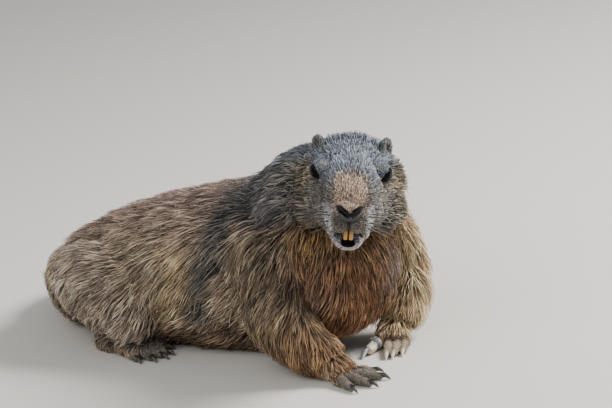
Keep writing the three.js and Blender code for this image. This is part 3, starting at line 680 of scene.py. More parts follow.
def survey(points, normals):
    """What the coat is at each point: blended colours, numbers and lie, and a place on the unwrap."""
    places = {name: nearest_on(form, points) for name, form in REGION_FORMS.items()}
    local = (points - HEAD_AT) @ HEAD_TURN
    head_place = nearest_on(skull, local)
    jaw_place = nearest_on(jaw, local)
    names = list(REGION_FORMS) + ["head"] + list(PAWS)
    out = [places[name][:, 2] for name in REGION_FORMS]
    out.append(np.minimum(head_place[:, 2], jaw_place[:, 2]) - 0.12)
    for name in PAWS:
        _, at, yaw, _ = PAWS[name]
        flat = (points - at) @ turn_about("Z", yaw)
        fore = name.startswith("fore")
        middle, reach = ((0, -20, 3), (20, 27, 14)) if fore else ((0, 4, 3), (20, 46, 15))
        out.append(out_of(flat, middle, reach) + (0.05 if fore else 0))
    out = np.stack(out, 1)
    first = np.argmin(out, axis=1)
    share = np.exp(-(out - out.min(1, keepdims=True)) / MIX_OVER)
    share /= share.sum(1, keepdims=True)

    weights = {name: np.zeros(len(points)) for name in COATS}
    lies = np.zeros((len(points), 3))

    zero = np.zeros(len(points))

    def add(coat, amount, lie=None):
        weights[coat] += amount
        way = np.broadcast_to(COATS[coat].lie if lie is None else lie, points.shape)
        lies[:] += unit(way) * amount[:, None]

    for i, name in enumerate(names):
        have = share[:, i]
        if name == "torso":
            t, angle, _ = places[name].T
            top = ease(np.sin(angle), 0.35, 0.95)
            low = ease(-np.sin(angle), 0.15, 0.75)
            fore = 1 - ease(t, 0.06, 0.24)
            slate = fore * (1 - low) * 0.8
            add("belly", have * low)
            add("back", have * top * (1 - slate))
            add("flank", have * (1 - top) * (1 - low) * (1 - slate))
            add("nape", have * (1 - low) * slate)
        elif name == "neck":
            t, angle, _ = places[name].T
            low = ease(-np.sin(angle), -0.15, 0.5)
            high = ease(points[:, 2], 106, 130)
            add("throat", have * low)
            add("nape", have * (1 - low) * high)
            add("shoulder", have * (1 - low) * (1 - high))
        elif name == "breast":
            outwards = np.stack([(points[:, 0] + 22) * 0.012, zero + 0.1, zero - 1], 1)
            collar = ease(points[:, 2], 92, 112)
            add("breast", have * (1 - collar), outwards)
            add("throat", have * collar, outwards)
        elif name == "tail":
            form = REGION_FORMS[name]
            add("tail", have, form.frames(np.clip(places[name][:, 0], 0, 1))[1] - (0, 0, 0.15))
        elif name.startswith("foreleg"):
            t = places[name][:, 0]
            way = REGION_FORMS[name].frames(np.clip(t, 0, 1))[1]
            # Painted light: the left foreleg's outer side and lower part get a paler coat than the right
            # foreleg has.
            if name == "foreleg_left":
                outer = np.maximum(ease(points[:, 0], 20, 42), 0.75 * ease(t, 0.6, 0.85))
                above = outer * 0
            else:
                outer = above = 1 - ease(t, 0.3, 0.75)
            for coat, amount in (
                ("foreleg", 1 - outer),
                ("lit_outer_foreleg", outer - above),
                ("shoulder", above),
            ):
                add(coat, have * amount, way * 0.5 + COATS[coat].lie)
        elif name.startswith("hindleg"):
            add("thigh", have)
        elif name == "head":
            x, y, z = local.T
            wide = np.abs(x)
            ear = np.minimum(*(out_of(in_ear(local, s), 0, (7.6, 4.7, 9.8)) for s in SIDES))
            left = 1.0
            shares = {}
            over_lip = ease(-y, 38, 43) * ease(-z, 15, 20) * ease(z, -42, -40)
            beside_nose = ease(-y, 31, 40) * ease(wide, 9.5, 13) * ease(-z, 8, 17)
            above_eye = 1 - ease(np.hypot((wide - 19) / 7, (y + 6) / 7), 0.3, 1.1)
            for coat, amount in (
                ("ear", 1 - ease(ear, 0.85, 1.1)),
                ("lip", over_lip * (1 - ease(wide, 9, 13))),
                ("bridge", ease(-y, 20, 31) * ease(z, -18, -11) * (1 - ease(wide, 9, 14.5))),
                ("muzzle", np.maximum(beside_nose, ease(-z, 40, 43) * ease(-y, 12, 24))),
                ("brow", above_eye * ease(z, 2, 7) * 0.7),
                ("crown", ease(z + 0.6 * np.maximum(y - 26, 0), -7, 4)),
                ("face", 1 - ease(y, -2, 16)),
                ("throat", ease(-z, 34, 50)),
                ("cheek", 1.0),
            ):
                shares[coat] = left * amount
                left = left * (1 - amount)
            for coat, amount in shares.items():
                fan, climb = FACE_LIES.get(coat, (0.015, -0.4))
                way = np.stack([x * fan, zero + 1, zero + climb], 1)
                add(coat, have * amount, way @ HEAD_TURN.T)
        else:
            _, at, yaw, _ = PAWS[name]
            # Painted light: the left forepaw is given paler hair than the other paws.
            pale = "lit_" if name == "forepaw_left" else ""
            way = np.array([0, -1, -0.25]) @ turn_about("Z", yaw).T
            ahead = -((points - at) @ turn_about("Z", yaw))[:, 1]
            finger = ease(ahead, *((11, 17) if "fore" in name else (-2, 6)))
            add(f"{pale}paw", have * (1 - finger), way)
            add(f"{pale}finger", have * finger, way)
    trunk = share[:, [names.index(n) for n in ("torso", "neck", "foreleg_right", "foreleg_left")]].sum(1)
    folded = np.column_stack([-np.abs(points[:, 0] - MIDDLE_X), points[:, 1:]])
    for coat, line, near, far in BANDS:
        amount = (1 - ease(off_line(folded, np.array(line, float)), near, far)) * trunk * 0.85
        for weight in weights.values():
            weight *= 1 - amount
        weights[coat] += amount
    total = sum(weights.values())
    colours = sum(weights[n][:, None, None] * COATS[n].colours for n in COATS) / total[:, None, None]
    numbers = sum(weights[n][:, None] * COATS[n].numbers for n in COATS) / total[:, None]

    def at_most(which, limit):
        numbers[:, which] = np.minimum(numbers[:, which], limit)

    for s in SIDES:
        gaze, _, _ = eye_axes(s)
        off = local - (s * EYE_X, 0, 0)
        far = np.linalg.norm(off, axis=1)
        close = 1 - ease(far, 8, 15)
        colours *= (1 - 0.3 * (1 - ease(far, 9, 12)))[:, None, None]
        around = off - (off @ gaze)[:, None] * gaze
        lies += (unit(around) @ HEAD_TURN.T) * close[:, None] * 1.2
        off_lid = np.maximum(far - 8.6, 0)
        at_most(LENGTH, 1.7 + off_lid * 0.7)
        at_most(DEPTH, 0.5 + off_lid * 0.3)
    nose = out_of(local, *NOSE_ZONE)
    at_most(LENGTH, 1.5 + np.maximum(nose - 1, 0) * 3.5)
    colours *= (1 - 0.4 * (1 - ease(nose, 1.0, 1.9)) * ease(-local[:, 2], 13, 18))[:, None, None]
    at_most(LENGTH, 0.7 + np.maximum(off_nostril(local) - 2.6, 0) * 0.5)
    gape = out_of(local, *GAPE_ZONE)
    at_most(LENGTH, 0.9 + np.maximum(gape - 1, 0) * 8)
    outwards = unit((local - GAPE_MIDDLE) * (1, 0.2, 1)) @ HEAD_TURN.T
    lies += outwards * ((1 - ease(gape, 1.05, 1.5)) * 2.5)[:, None]
    # Painted shade: the hair is darkened in the creases where the forelegs meet the breast.
    crease_shade = np.zeros(len(points))
    for leg in ("foreleg_right", "foreleg_left"):
        gap = np.abs(places[leg][:, 2] - places["breast"][:, 2])
        near = np.minimum(places[leg][:, 2], places["breast"][:, 2])
        crease_shade = np.maximum(crease_shade, (1 - ease(gap, 0.02, 0.3)) * (1 - ease(near, 1.0, 1.25)))
    crease_shade *= ease(points[:, 2], 8, 30) * (1 - ease(points[:, 2], 92, 104))
    colours *= (1 - 0.6 * crease_shade)[:, None, None]
    band, cream = banded_finger(points)
    for amount, code in ((band, "#59606f"), (cream, "#d9c7a8")):
        colours += (linear(code) - colours) * amount[:, None, None]
    numbers[:, GROWS] *= 1 - 0.85 * np.maximum(band, cream)
    at_most(WIDTH, 0.45 + numbers[:, LENGTH] * 0.05)
    for name in ("foreleg_right", "foreleg_left"):
        t, _, out = places[name].T
        short = (1 - 0.45 * ease(t, 0.8, 1.0)) * (out < 1.2) + (out >= 1.2)
        numbers[:, LENGTH] *= short
        numbers[:, DEPTH] *= short
    grown = unit(lies - normals * np.sum(lies * normals, axis=1, keepdims=True))

    unwrap = np.empty((len(points), 2))
    for i, name in enumerate(names):
        mine = first == i
        place = places[name] if name in places else head_place
        t, angle = place[mine, 0], place[mine, 1]
        if name in PAWS:
            _, at, yaw, _ = PAWS[name]
            flat = (points[mine] - at) @ turn_about("Z", yaw)
            t, angle = (flat[:, 1] + 50) / 100, np.arctan2(flat[:, 2] - 6, flat[:, 0])
        column, row = i % 4, i // 4
        unwrap[mine, 0] = (column + 0.05 + 0.9 * (angle / (2 * math.pi) + 0.5)) / 4
        unwrap[mine, 1] = (row + 0.05 + 0.9 * np.clip(t, -0.05, 1.05)) / 4
    return first, names, local, colours, numbers, grown, unwrap


BARE_MOUTH = (
    ((0, -40, -37.4), (11.2, 17.5, 7.7)),
    ((0, -49, -31.5), (4.9, 12, 5.6)),
    ((0, -45, -39.6), (9, 9, 4.7)),
)
BARE_NOSE = (0, -53, -18.2), (7.8, 6, 4.1)


def bare_parts(local):
    """How bare the hide is: round the eyes, in the mouth, the ears' cups and on the nose."""
    x, y, z = local.T
    eye = np.zeros(len(x))
    for s in SIDES:
        gaze, slit, over = eye_axes(s)
        off = local - (s * EYE_X, 0, 0)
        far = np.hypot(off @ slit / 6.9, off @ over / 3.9)
        eye = np.maximum(eye, (1 - ease(far, 0.85, 1.05)) * (off @ gaze > 0))
    mouth = 1 - ease(np.minimum.reduce([out_of(local, *zone) for zone in BARE_MOUTH]), 0.97, 1.06)
    split = (1 - ease(np.abs(x), 1.1, 1.8)) * (y < -47) * ease(z, -30, -27) * ease(-z, 18, 20)
    mouth = np.maximum(mouth, split)
    nose = (1 - ease(out_of(local, *BARE_NOSE), 0.9, 1.05)) * ease(-y, 46, 49)
    mouth = np.maximum(mouth, (1 - ease(off_nostril(local), 2.9, 3.4)) * (y < -44))
    ear = np.zeros(len(x))
    for s in SIDES:
        off = in_ear(local, s)
        ear = np.maximum(ear, (out_of(off, 0, (4.6, 3.6, 6.4)) < 1) * (off[:, 1] < 1.2))
    return eye, mouth, nose, ear


def set_colours(mesh, colours):
    layer = mesh.color_attributes.new("markings_and_painted_light", "FLOAT_COLOR", "POINT")
    full = np.concatenate([np.clip(colours, 0, 1), np.ones((len(colours), 1))], axis=1)
    layer.data.foreach_set("color", full.astype(np.float32).ravel())


skin_normals = np.empty(len(spots) * 3, np.float32)
hide.data.vertex_normals.foreach_get("vector", skin_normals)
skin_normals = skin_normals.reshape(-1, 3).astype(float)
skin_points = spots * 1000 - SHIFT
_, _, local, colours, numbers, _, _ = survey(skin_points, skin_normals)
eye, mouth, nose, ear = bare_parts(local)
blotch = (0.8 + 0.4 * mottle(skin_points, 9, 3))[:, None]
shown = colours[:, 0] * 0.92 + colours[:, 1] * 0.08
under_long = np.clip((numbers[:, LENGTH] - 5) / 6, 0, 1)[:, None]
shown = (shown * under_long + (colours[:, 0] * 0.2 + colours[:, 1] * 0.8) * (1 - under_long)) * blotch
# The eye rims, the nose and the ear cups get their own colours. The mouth, the split of the lip and the
# nostrils are painted near black: painted shade in those hollows.
for amount, code in ((eye, "#0a0908"), (nose, "#262120"), (mouth, "#0d0a0a"), (ear, "#7d655b")):
    shown = shown * (1 - amount[:, None]) + linear(code) * amount[:, None]
set_colours(hide.data, shown)


def add_node(tree, kind, settings=(), links=()):
    """A node with its settings, by attribute or by input, and the sockets that feed its inputs."""
    node = tree.nodes.new(kind)
    for key, value in dict(settings).items():
        if isinstance(key, str) and hasattr(node, key):
            setattr(node, key, value)
        else:
            node.inputs[key].default_value = value
    for key, socket in dict(links).items():
        tree.links.new(socket, node.inputs[key])
    return node


def new_material(name):
    material = bpy.data.materials.new(name)
    material.use_nodes = True
    material.node_tree.nodes.clear()
    return material, material.node_tree


def finished(tree, settings, links):
    shader = add_node(tree, "ShaderNodeBsdfPrincipled", settings, links)
    add_node(tree, "ShaderNodeOutputMaterial", (), {"Surface": shader.outputs["BSDF"]})


# Hide under fur and on the paws: leathery skin, matt, finely wrinkled, with a down too short to
# see. Its wrinkles are about 1.5 mm apart.
hide_material, tree = new_material("leathery_hide")
place = add_node(tree, "ShaderNodeTexCoord")
marks = add_node(tree, "ShaderNodeAttribute", {"attribute_name": "markings_and_painted_light"})
wrinkle = add_node(
    tree,
    "ShaderNodeTexNoise",
    {"Scale": 700.0, "Detail": 3.0},
    {"Vector": place.outputs["Object"]},
)
height = wrinkle.outputs["Fac"]
tint = add_node(tree, "ShaderNodeMapRange", {"To Min": 0.75, "To Max": 1.25}, {"Value": height})
toned = add_node(
    tree,
    "ShaderNodeVectorMath",
    {"operation": "SCALE"},
    {"Vector": marks.outputs["Color"], "Scale": tint.outputs["Result"]},
)
relief = add_node(tree, "ShaderNodeBump", {"Strength": 0.5, "Distance": 0.0006}, {"Height": height})
finished(
    tree,
    {"Roughness": 0.6, "Specular IOR Level": 0.35},
    {"Base Color": toned.outputs["Vector"], "Normal": relief.outputs["Normal"]},
)
hide.data.materials.clear()
hide.data.materials.append(hide_material)

# The coat: tufts of hair, each a thin closed spike that tapers to a point. A tuft grows from the
# hide, bends over and runs along the lie, and those of a lock draw together towards its tip.
# Short hair is bent once and long hair twice.
COAT_SEED = 7
LONG_HAIR = 10  # in millimetres
random = np.random.default_rng(COAT_SEED)
mesh = hide.data
mesh.calc_loop_triangles()
corners = np.empty(len(mesh.loop_triangles) * 3, np.int32)
mesh.loop_triangles.foreach_get("vertices", corners)
corners = corners.reshape(-1, 3)
tri = skin_points[corners]
crossed = np.cross(tri[:, 1] - tri[:, 0], tri[:, 2] - tri[:, 0])
areas = np.linalg.norm(crossed, axis=1) / 2
bare = np.maximum.reduce([eye, mouth, nose, ear * 0.6])
thick = numbers[:, GROWS] * (1 - bare) * ease(spots[:, 2] * 1000, 0.7, 2.5)
expected = areas * thick[corners].mean(1)
sums = np.cumsum(expected)
count = int(sums[-1])
stops = (np.arange(count) + random.random(count)) * sums[-1] / count
picked = np.minimum(np.searchsorted(sums, stops), len(areas) - 1)
u, v = random.random((2, count))
flip = u + v > 1
u, v = np.where(flip, 1 - u, u)[:, None], np.where(flip, 1 - v, v)[:, None]
roots = tri[picked, 0] * (1 - u - v) + tri[picked, 1] * u + tri[picked, 2] * v
root_normals = unit(sum(skin_normals[corners[picked, i]] * w for i, w in enumerate((1 - u - v, u, v))))
first, names, _, colours, numbers, lie, unwrap = survey(roots, root_normals)
length, width, depth, grows = numbers.T

LOCK_SPACING = 0.26  # of a tuft's length
rank = random.random(count)
leads = np.nonzero(rank < np.clip(1 / (grows * (length * LOCK_SPACING) ** 2), 0.02, 0.5))[0]
tree_of_leads = KDTree(len(leads))
for i, lead in enumerate(leads):
    tree_of_leads.insert(roots[lead], i)
tree_of_leads.balance()
leader = np.array([leads[tree_of_leads.find(p)[1]] for p in roots])

# Locks swirl over 34 and 13 mm, and each tuft strays from its lock, in radians.
long_hair = length > LONG_HAIR
swirl = (mottle(roots, 34, 5) - 0.5) * 0.55 + (mottle(roots, 13, 6) - 0.5) * 0.45
stray = random.normal(0, 1, count) * np.where(long_hair, 0.2, 0.12)
turned = swirl[leader] * np.where(long_hair, 1, 0.4) + stray
lie = unit(lie * np.cos(turned)[:, None] + np.cross(root_normals, lie) * np.sin(turned)[:, None])
own = 0.75 + 0.4 * random.random(count)
length = length * own * (0.85 + 0.3 * random.random(count))[leader]
stand_up = (0.4 + 0.75 * random.random(count)) * (0.7 + 0.6 * random.random(count)[leader])

surface = BVHTree.FromPolygons(skin_points.tolist(), corners.tolist())
STAGES = (0.3, 0.65, 1.0)  # how far along a tuft it bends
HEIGHTS = (0.62, 0.95, 1.0)  # and how high it has risen there
DRAWN = (0, 0.15, 0.35, 0.55)  # how far it is drawn to the middle of its lock
path = [roots - root_normals * 0.5]
spot, heading = roots, lie
for stage, height in enumerate(HEIGHTS):
    step = STAGES[stage] - (STAGES[stage - 1] if stage else 0)
    raw = spot + heading * (length * step)[:, None]
    down = np.empty((count, 3))
    out = np.empty((count, 3))
    for i, point in enumerate(raw):
        where, normal, _, _ = surface.find_nearest(point)
        down[i] = where
        out[i] = normal
    lift = depth * stand_up * height
    path.append(down + out * lift[:, None])
    spot = down
    heading = unit(heading - out * np.sum(heading * out, axis=1, keepdims=True) * 0.9)
path = np.stack(path, 1)
drawn = np.array(DRAWN)[None, :, None] * (0.3 + 0.7 * random.random((count, 1, 1)))
lead_root = np.linalg.norm(roots - roots[leader], axis=1)
drawn = drawn * np.where(long_hair, 1, 0.5)[:, None, None]
drawn = drawn * np.clip(1.6 - lead_root / np.maximum(length * 0.4, 1), 0, 1)[:, None, None]
path = path + (path[leader] - path) * drawn
path[:, :, 2] = np.maximum(path[:, :, 2], 0.4 - SHIFT[2])

# Hair by hair the colour changes from root to tip, and a lock as a whole is lighter or darker.
DARK_SHARE = 0.34  # of the tufts
lock_tone = (0.55 + 0.8 * random.random(count))[leader]
hair_tone = np.where(
    random.random(count) < DARK_SHARE,
    0.2 + 0.35 * random.random(count),
    0.85 + 0.65 * random.random(count),
)
tipped = np.clip(random.normal(0.6, 0.34, count), 0, 1)
patch = 0.75 + 0.5 * mottle(roots, 22, 9)
tone = (lock_tone * hair_tone * patch)[:, None]
middle = (colours[:, 1] * (1 - 0.45 * tipped[:, None]) + colours[:, 2] * 0.45 * tipped[:, None]) * tone
tip = (colours[:, 1] * (1 - tipped[:, None]) + colours[:, 2] * tipped[:, None]) * tone
root_colour = colours[:, 0] * (0.8 + 0.4 * hair_tone[:, None])
near_root = root_colour * 0.6 + middle * 0.4

# Guard hair: keratin, smooth along its length, so each hair has a soft gloss and the coat is matt.
coat_material, tree = new_material("marmot_hair")
marks = add_node(tree, "ShaderNodeAttribute", {"attribute_name": "markings_and_painted_light"})
finished(tree, {"Roughness": 0.62, "Specular IOR Level": 0.3}, {"Base Color": marks.outputs["Color"]})


MOST_TRIANGLES = 190000  # of one piece
PATCH = 0.003  # how much of the unwrap a tuft takes up


def tuft_mesh(name, mine, bends):
    """The tufts of one piece, in mesh arrays: a triangle at the root and at each bend, and a tip."""
    keep = [0, 1, 2, 3] if bends == 2 else [0, 2, 3]
    line = path[mine][:, keep]
    tints = [root_colour, near_root, middle, tip] if bends == 2 else [near_root, middle, tip]
    rings = bends + 1
    ahead = unit(np.diff(line, axis=1))
    ahead = np.concatenate([ahead[:, :1], unit(ahead[:, :-1] + ahead[:, 1:])], axis=1)
    side = unit(np.cross(ahead, root_normals[mine][:, None]))
    over = np.cross(side, ahead)
    profile = np.array([0.8, 1.05, 0.6] if bends == 2 else [0.9, 0.8])
    half = (width[mine] * (0.8 + 0.4 * hair_tone[mine]) / 2)[:, None] * profile
    corner = np.array([(-1, -0.35), (0, 0.6), (1, -0.35)])
    ring = (
        line[:, :rings, None]
        + side[:, :, None] * (half[:, :, None] * corner[:, 0])[..., None]
        + over[:, :, None] * (half[:, :, None] * corner[:, 1])[..., None]
    )
    number = rings * 3 + 1
    points = np.concatenate([ring.reshape(len(mine), -1, 3), line[:, -1:]], axis=1).reshape(-1, 3)
    points[:, 2] = np.maximum(points[:, 2], 0.25 - SHIFT[2])
    faces = [(0, 1, 2)]
    for r in range(rings - 1):
        for k in range(3):
            a, b = r * 3 + k, r * 3 + (k + 1) % 3
            faces += [(a, a + 3, b), (b, a + 3, b + 3)]
    last = (rings - 1) * 3
    faces += [(last + k, number - 1, last + (k + 1) % 3) for k in range(3)]
    faces = np.array(faces)
    whole = (faces[None] + np.arange(len(mine))[:, None, None] * number).reshape(-1, 3)
    made = bpy.data.meshes.new(name)
    made.vertices.add(len(points))
    made.vertices.foreach_set("co", ((points + SHIFT) / 1000).astype(np.float32).ravel())
    made.loops.add(whole.size)
    made.loops.foreach_set("vertex_index", whole.ravel().astype(np.int32))
    made.polygons.add(len(whole))
    made.polygons.foreach_set("loop_start", np.arange(0, whole.size, 3, dtype=np.int32))
    made.polygons.foreach_set("use_smooth", np.ones(len(whole), bool))
    made.update(calc_edges=True)
    colour = np.stack([tints[min(r, len(tints) - 1)][mine] for r in range(rings)], axis=1)
    colour = np.repeat(colour, 3, axis=1)
    set_colours(made, np.concatenate([colour, tints[-1][mine][:, None]], axis=1).reshape(-1, 3))
    bake_map = made.uv_layers.new(name="OFBake")
    rows = np.linspace(0, PATCH, rings + 1)
    footprint = [((k - 1) * PATCH / 2, rows[r]) for r in range(rings) for k in range(3)] + [(0, rows[-1])]
    uv = (unwrap[mine][:, None] + np.array(footprint)[None]).reshape(-1, 2)[whole.ravel()]
    bake_map.data.foreach_set("uv", uv.astype(np.float32).ravel())
    made.materials.append(coat_material)
    piece = bpy.data.objects.new(name, made)
    bpy.context.scene.collection.objects.link(piece)
    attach(piece, "root")
    return piece


COAT_PIECES = {
    "trunk_coat": (["torso"], "coat_back"),
    "neck_coat": (["neck"], "coat_neck"),
    "breast_coat": (["breast"], "coat_leg"),
    "foreleg_coat": (["foreleg_right", "foreleg_left"], "coat_leg"),
    "thigh_coat": (["hindleg_right", "hindleg_left"], "coat_back"),
    "tail_coat": (["tail"], "coat_tail"),
    "head_coat": (["head"], "coat_head"),
    "paw_coat": (list(PAWS), "paw"),
}
for name, (regions, slot) in COAT_PIECES.items():
    inside = np.isin(first, [names.index(r) for r in regions])
    for bends, kind, each in ((2, "", 16), (1, "_short", 10)):
        mine = np.nonzero(inside & (long_hair == (bends == 2)))[0]
        if not len(mine):
            continue
        mine = mine[np.argsort(unwrap[mine, 0], kind="stable")]
        pieces = math.ceil(len(mine) * each / MOST_TRIANGLES)
        for i, share in enumerate(np.array_split(mine, pieces)):
            tuft_mesh(f"{name}{kind}_{i + 1}", share, bends)

# The eyes: nearly black balls under a clear wet cornea, so they read as black and glossy. The cornea
# bulges a little from the ball, and the lids close over its edge.


def surfaced(piece, material):
    piece.data.shade_smooth()
    piece.data.materials.clear()
    piece.data.materials.append(material)


CORNEA_OUT, CORNEA_RADIUS = 3.4, 4.9
eye_material, tree = new_material("wet_dark_eye")
place = add_node(tree, "ShaderNodeTexCoord")
stroma = add_node(tree, "ShaderNodeTexNoise", {"Scale": 900.0}, {"Vector": place.outputs["Object"]})
iris = add_node(tree, "ShaderNodeValToRGB", (), {"Fac": stroma.outputs["Fac"]})
iris.color_ramp.elements[0].color = (*linear("#050404"), 1)
iris.color_ramp.elements[1].color = (*linear("#0f0906"), 1)
finished(
    tree,
    {"Roughness": 0.05, "IOR": 1.34, "Specular IOR Level": 0.12},
    {"Base Color": iris.outputs["Color"]},
)
for s, side in ((1, "left"), (-1, "right")):
    shells = [ball((s * EYE_X, 0, 0), (EYE_RADIUS,) * 3, rings=24)]
    cornea = np.array([s * EYE_X, 0, 0]) + GAZE * (s, 1, 1) * CORNEA_OUT
    shells.append(ball(cornea, (CORNEA_RADIUS,) * 3, rings=24))
    eyeball = fused(mesh_piece(f"eyeball_{side}", [in_head(shell) for shell in shells]), 0.3, 4)
    surfaced(eyeball, eye_material)
    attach(eyeball, "root")
    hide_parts(f"eye_{side}")

# The nose: moist bare skin, dark grey brown and finely grained, so it has a dull gloss. Its two
# nostrils run down and inwards like commas to the split of the lip, painted near black inside as shade.
nose_material, tree = new_material("moist_nose_skin")
place = add_node(tree, "ShaderNodeTexCoord")
grain = add_node(tree, "ShaderNodeTexVoronoi", {"Scale": 1100.0}, {"Vector": place.outputs["Object"]})
shade = add_node(tree, "ShaderNodeValToRGB", (), {"Fac": grain.outputs["Distance"]})
shade.color_ramp.elements[0].color = (*linear("#3d3430"), 1)
shade.color_ramp.elements[1].color = (*linear("#211c1a"), 1)
nostril_shade = add_node(tree, "ShaderNodeAttribute", {"attribute_name": "markings_and_painted_light"})
toned = add_node(
    tree,
    "ShaderNodeVectorMath",
    {"operation": "MULTIPLY"},
    {0: shade.outputs["Color"], 1: nostril_shade.outputs["Color"]},
)
height = grain.outputs["Distance"]
relief = add_node(tree, "ShaderNodeBump", {"Strength": 0.4, "Distance": 0.0003}, {"Height": height})
finished(
    tree,
    {"Roughness": 0.5},
    {"Base Color": toned.outputs["Vector"], "Normal": relief.outputs["Normal"]},
)
pad = in_head(ball((0, -50.2, -17.6), (8.8, 4.0, 4.6), rings=24))
nose_pad = fused(mesh_piece("nose_pad", [pad]), 0.5, 1)
for s in SIDES:
    nose_pad = combined(nose_pad, mesh_piece("hollow", [in_head(nostril(s))]), "DIFFERENCE")
nose_pad = fused(nose_pad, 0.45, 2)
nose_spots = np.array([v.co for v in nose_pad.data.vertices]) * 1000 - SHIFT
# Painted shade: the skin inside the nostrils is darkened to near black.
inside = 1 - ease(off_nostril((nose_spots - HEAD_AT) @ HEAD_TURN), 1.9, 2.5)
set_colours(nose_pad.data, (1 - 0.93 * inside)[:, None] * np.ones(3))
surfaced(nose_pad, nose_material)
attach(nose_pad, "root")
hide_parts("nose")

# The two upper incisors: chisels of smooth enamel, deep orange at the gum and yellower at the edge,
# which the iron in them colours. They start under the lip and end just above the lower jaw.
tooth_material, tree = new_material("orange_enamel")
place = add_node(tree, "ShaderNodeTexCoord")
height = add_node(tree, "ShaderNodeSeparateXYZ", (), {"Vector": place.outputs["Object"]})
gum = (BETWEEN_EYES[2] * 1000 - 28) / 1000
down = add_node(
    tree,
    "ShaderNodeMapRange",
    {"From Min": gum, "From Max": gum - 0.016},
    {"Value": height.outputs["Z"]},
)
enamel = add_node(tree, "ShaderNodeValToRGB", (), {"Fac": down.outputs["Result"]})
enamel.color_ramp.elements[0].color = (*linear("#7c4a10"), 1)
enamel.color_ramp.elements[1].color = (*linear("#b98832"), 1)
finished(tree, {"Roughness": 0.33, "IOR": 1.55}, {"Base Color": enamel.outputs["Color"]})
for s, side in ((1, "left"), (-1, "right")):
    chisel = Form(
        [
            (s * 2.15, -38, -22, 1.6, 1.5, 1.5),
            (s * 2.15, -42, -29, 1.65, 1.4, 1.4),
            (s * 2.1, -43.5, -34, 1.6, 1.1, 1.2),
            (s * 2.0, -42.9, -38.4, 1.4, 0.5, 0.6),
        ],
        up=(0, -1, 0),
        caps=(1, 0.5),
        power=2.8,
    )
    incisor = mesh_piece(f"upper_incisor_{side}", [in_head(chisel.shell(28, 28))])
    surfaced(incisor, tooth_material)
    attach(incisor, "root")
    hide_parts(f"incisor_{side}")

# The claws: curved horn, smooth and a little glossy, dark brown on the right forepaw and the hind
# paws and cream on the left forepaw. Its outer claw is grey and the longest.
horn_material, tree = new_material("claw_horn")
place = add_node(tree, "ShaderNodeTexCoord")
marks = add_node(tree, "ShaderNodeAttribute", {"attribute_name": "markings_and_painted_light"})
growth = add_node(
    tree,
    "ShaderNodeTexNoise",
    {"Scale": 500.0, "Detail": 2.0},
    {"Vector": place.outputs["Object"]},
)
height = growth.outputs["Fac"]
tint = add_node(tree, "ShaderNodeMapRange", {"To Min": 0.7, "To Max": 1.3}, {"Value": height})
toned = add_node(
    tree,
    "ShaderNodeVectorMath",
    {"operation": "SCALE"},
    {"Vector": marks.outputs["Color"], "Scale": tint.outputs["Result"]},
)
finished(tree, {"Roughness": 0.36, "IOR": 1.55}, {"Base Color": toned.outputs["Vector"]})
WIDEST_CLAW = 3.9
DARK_HORN = ("#1d1917", "#4c4238")
CREAM_HORN = ("#a39a8b", "#d8cebc")
GREY_HORN = ("#59626c", "#b9bfc2")
for name in PAWS:
    shells, tints = [], []
    for i, (root, way, reach, size, claw) in enumerate(digits_of(name)):
        tip = root + way * (reach + size * 0.6)
        at = lambda ahead, z: tip + way * ahead + (0, 0, z * size)
        bore = min(size, WIDEST_CLAW)
        rows = [
            [*at(-0.9 * size, 1.1), 0.5 * bore, 0.52 * bore, 0.52 * bore],
            [*at(claw * 0.2, 1.05), 0.46 * bore, 0.5 * bore, 0.48 * bore],
            [*at(claw * 0.55, 0.82), 0.37 * bore, 0.38 * bore, 0.38 * bore],
            [*at(claw * 0.8, 0.52), 0.25 * bore, 0.26 * bore, 0.26 * bore],
            [*at(claw, 0.22), 0.1 * bore, 0.1 * bore, 0.1 * bore],
        ]
        shell = Form(rows, caps=(1, 0.6)).shell(20, 14)
        codes = DARK_HORN if name != "forepaw_left" else GREY_HORN if i == 3 else CREAM_HORN
        share = ease((shell[0] - tip) @ way, 0, claw)[:, None]
        tints.append(linear(codes[0]) * (1 - share) + linear(codes[1]) * share)
        shells.append(in_paw(name, shell))
    claws = mesh_piece(f"{name}_claws", shells)
    set_colours(claws.data, np.concatenate(tints))
    surfaced(claws, horn_material)
    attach(claws, "root")
    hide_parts(*[f"{name}_claw_{i + 1}" for i in range(len(PAWS[name][3]))])

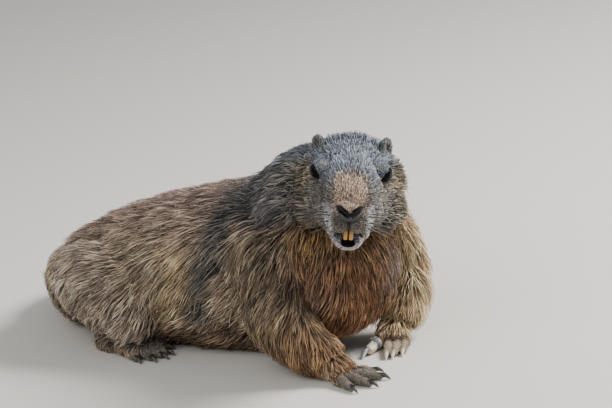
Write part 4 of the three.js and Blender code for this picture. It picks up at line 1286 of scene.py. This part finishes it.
# The whiskers: stiff tapered hairs in rows on the whisker pads, dark, sweeping out and back. They
# are smoother and glossier than the coat, and banded by growth.
WHISKER_SEED = 19
WHISKER_RADIUS = 0.1
whisker_draw = np.random.default_rng(WHISKER_SEED)
whiskers = []
for s in SIDES:
    for i in range(6):
        row, column = divmod(i, 2)
        base = np.array([s * (12 + 0.9 * column), -45 + 4.2 * column, -19 - 4.2 * row])
        reach = 17 + 5 * column + 5 * whisker_draw.random()
        way = unit(np.array([s * (0.95 - 0.06 * row), -0.12 + 0.16 * column, 0.12 - 0.16 * row]))
        drop = np.array([0, 0.28, -0.22]) + whisker_draw.normal(0, 0.06, 3)
        rows = []
        for k in range(6):
            share = k / 5
            at = base + way * reach * share + drop * reach * share**2
            rows.append([*at, *[WHISKER_RADIUS * (1 - 0.8 * share)] * 3])
        whiskers.append(in_head(Form(rows, up=(0, 0.2, 1), caps=(0.3, 0.3)).shell(14, 5)))
whisker_piece = mesh_piece("whiskers", whiskers)
whisker_material, tree = new_material("whisker_hair")
place = add_node(tree, "ShaderNodeTexCoord")
band = add_node(tree, "ShaderNodeTexNoise", {"Scale": 200.0}, {"Vector": place.outputs["Object"]})
shade = add_node(tree, "ShaderNodeValToRGB", (), {"Fac": band.outputs["Fac"]})
shade.color_ramp.elements[0].color = (*linear("#16120f"), 1)
shade.color_ramp.elements[1].color = (*linear("#4d443d"), 1)
finished(tree, {"Roughness": 0.45}, {"Base Color": shade.outputs["Color"]})
surfaced(whisker_piece, whisker_material)
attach(whisker_piece, "root")

# The plain pale floor, matt paint, and the soft light of a studio: one broad lamp above and to the
# right of the picture, a weaker one from the left, and an even pale surround.
floor_mesh = bpy.data.meshes.new("floor")
floor_mesh.from_pydata([(-9, -9, 0), (9, -9, 0), (9, 9, 0), (-9, 9, 0)], [], [(0, 1, 2, 3)])
floor = bpy.data.objects.new("floor", floor_mesh)
bpy.context.scene.collection.objects.link(floor)
floor_material, tree = new_material("matt_floor_paint")
finished(tree, {"Base Color": (*linear("#d6d1c8"), 1), "Roughness": 0.85}, ())
floor_mesh.materials.append(floor_material)

world = bpy.data.worlds.new("surround")
bpy.context.scene.world = world
world.use_nodes = True
sky = world.node_tree.nodes["Background"].inputs
sky["Color"].default_value = (0.86, 0.9, 0.95, 1)
sky["Strength"].default_value = 0.5
LAMPS = (("key", (1.1, -1.2, 1.5), 0.9, 88), ("fill", (-1.5, -0.2, 1.3), 1.4, 18))
LIT = Vector((0, -0.05, 0.08))
for name, at, size, power in LAMPS:
    lamp = bpy.data.objects.new(name, bpy.data.lights.new(name, "AREA"))
    lamp.data.size = size
    lamp.data.energy = power
    lamp.location = at
    lamp.rotation_euler = (LIT - Vector(at)).to_track_quat("-Z", "Y").to_euler()
    bpy.context.scene.collection.objects.link(lamp)
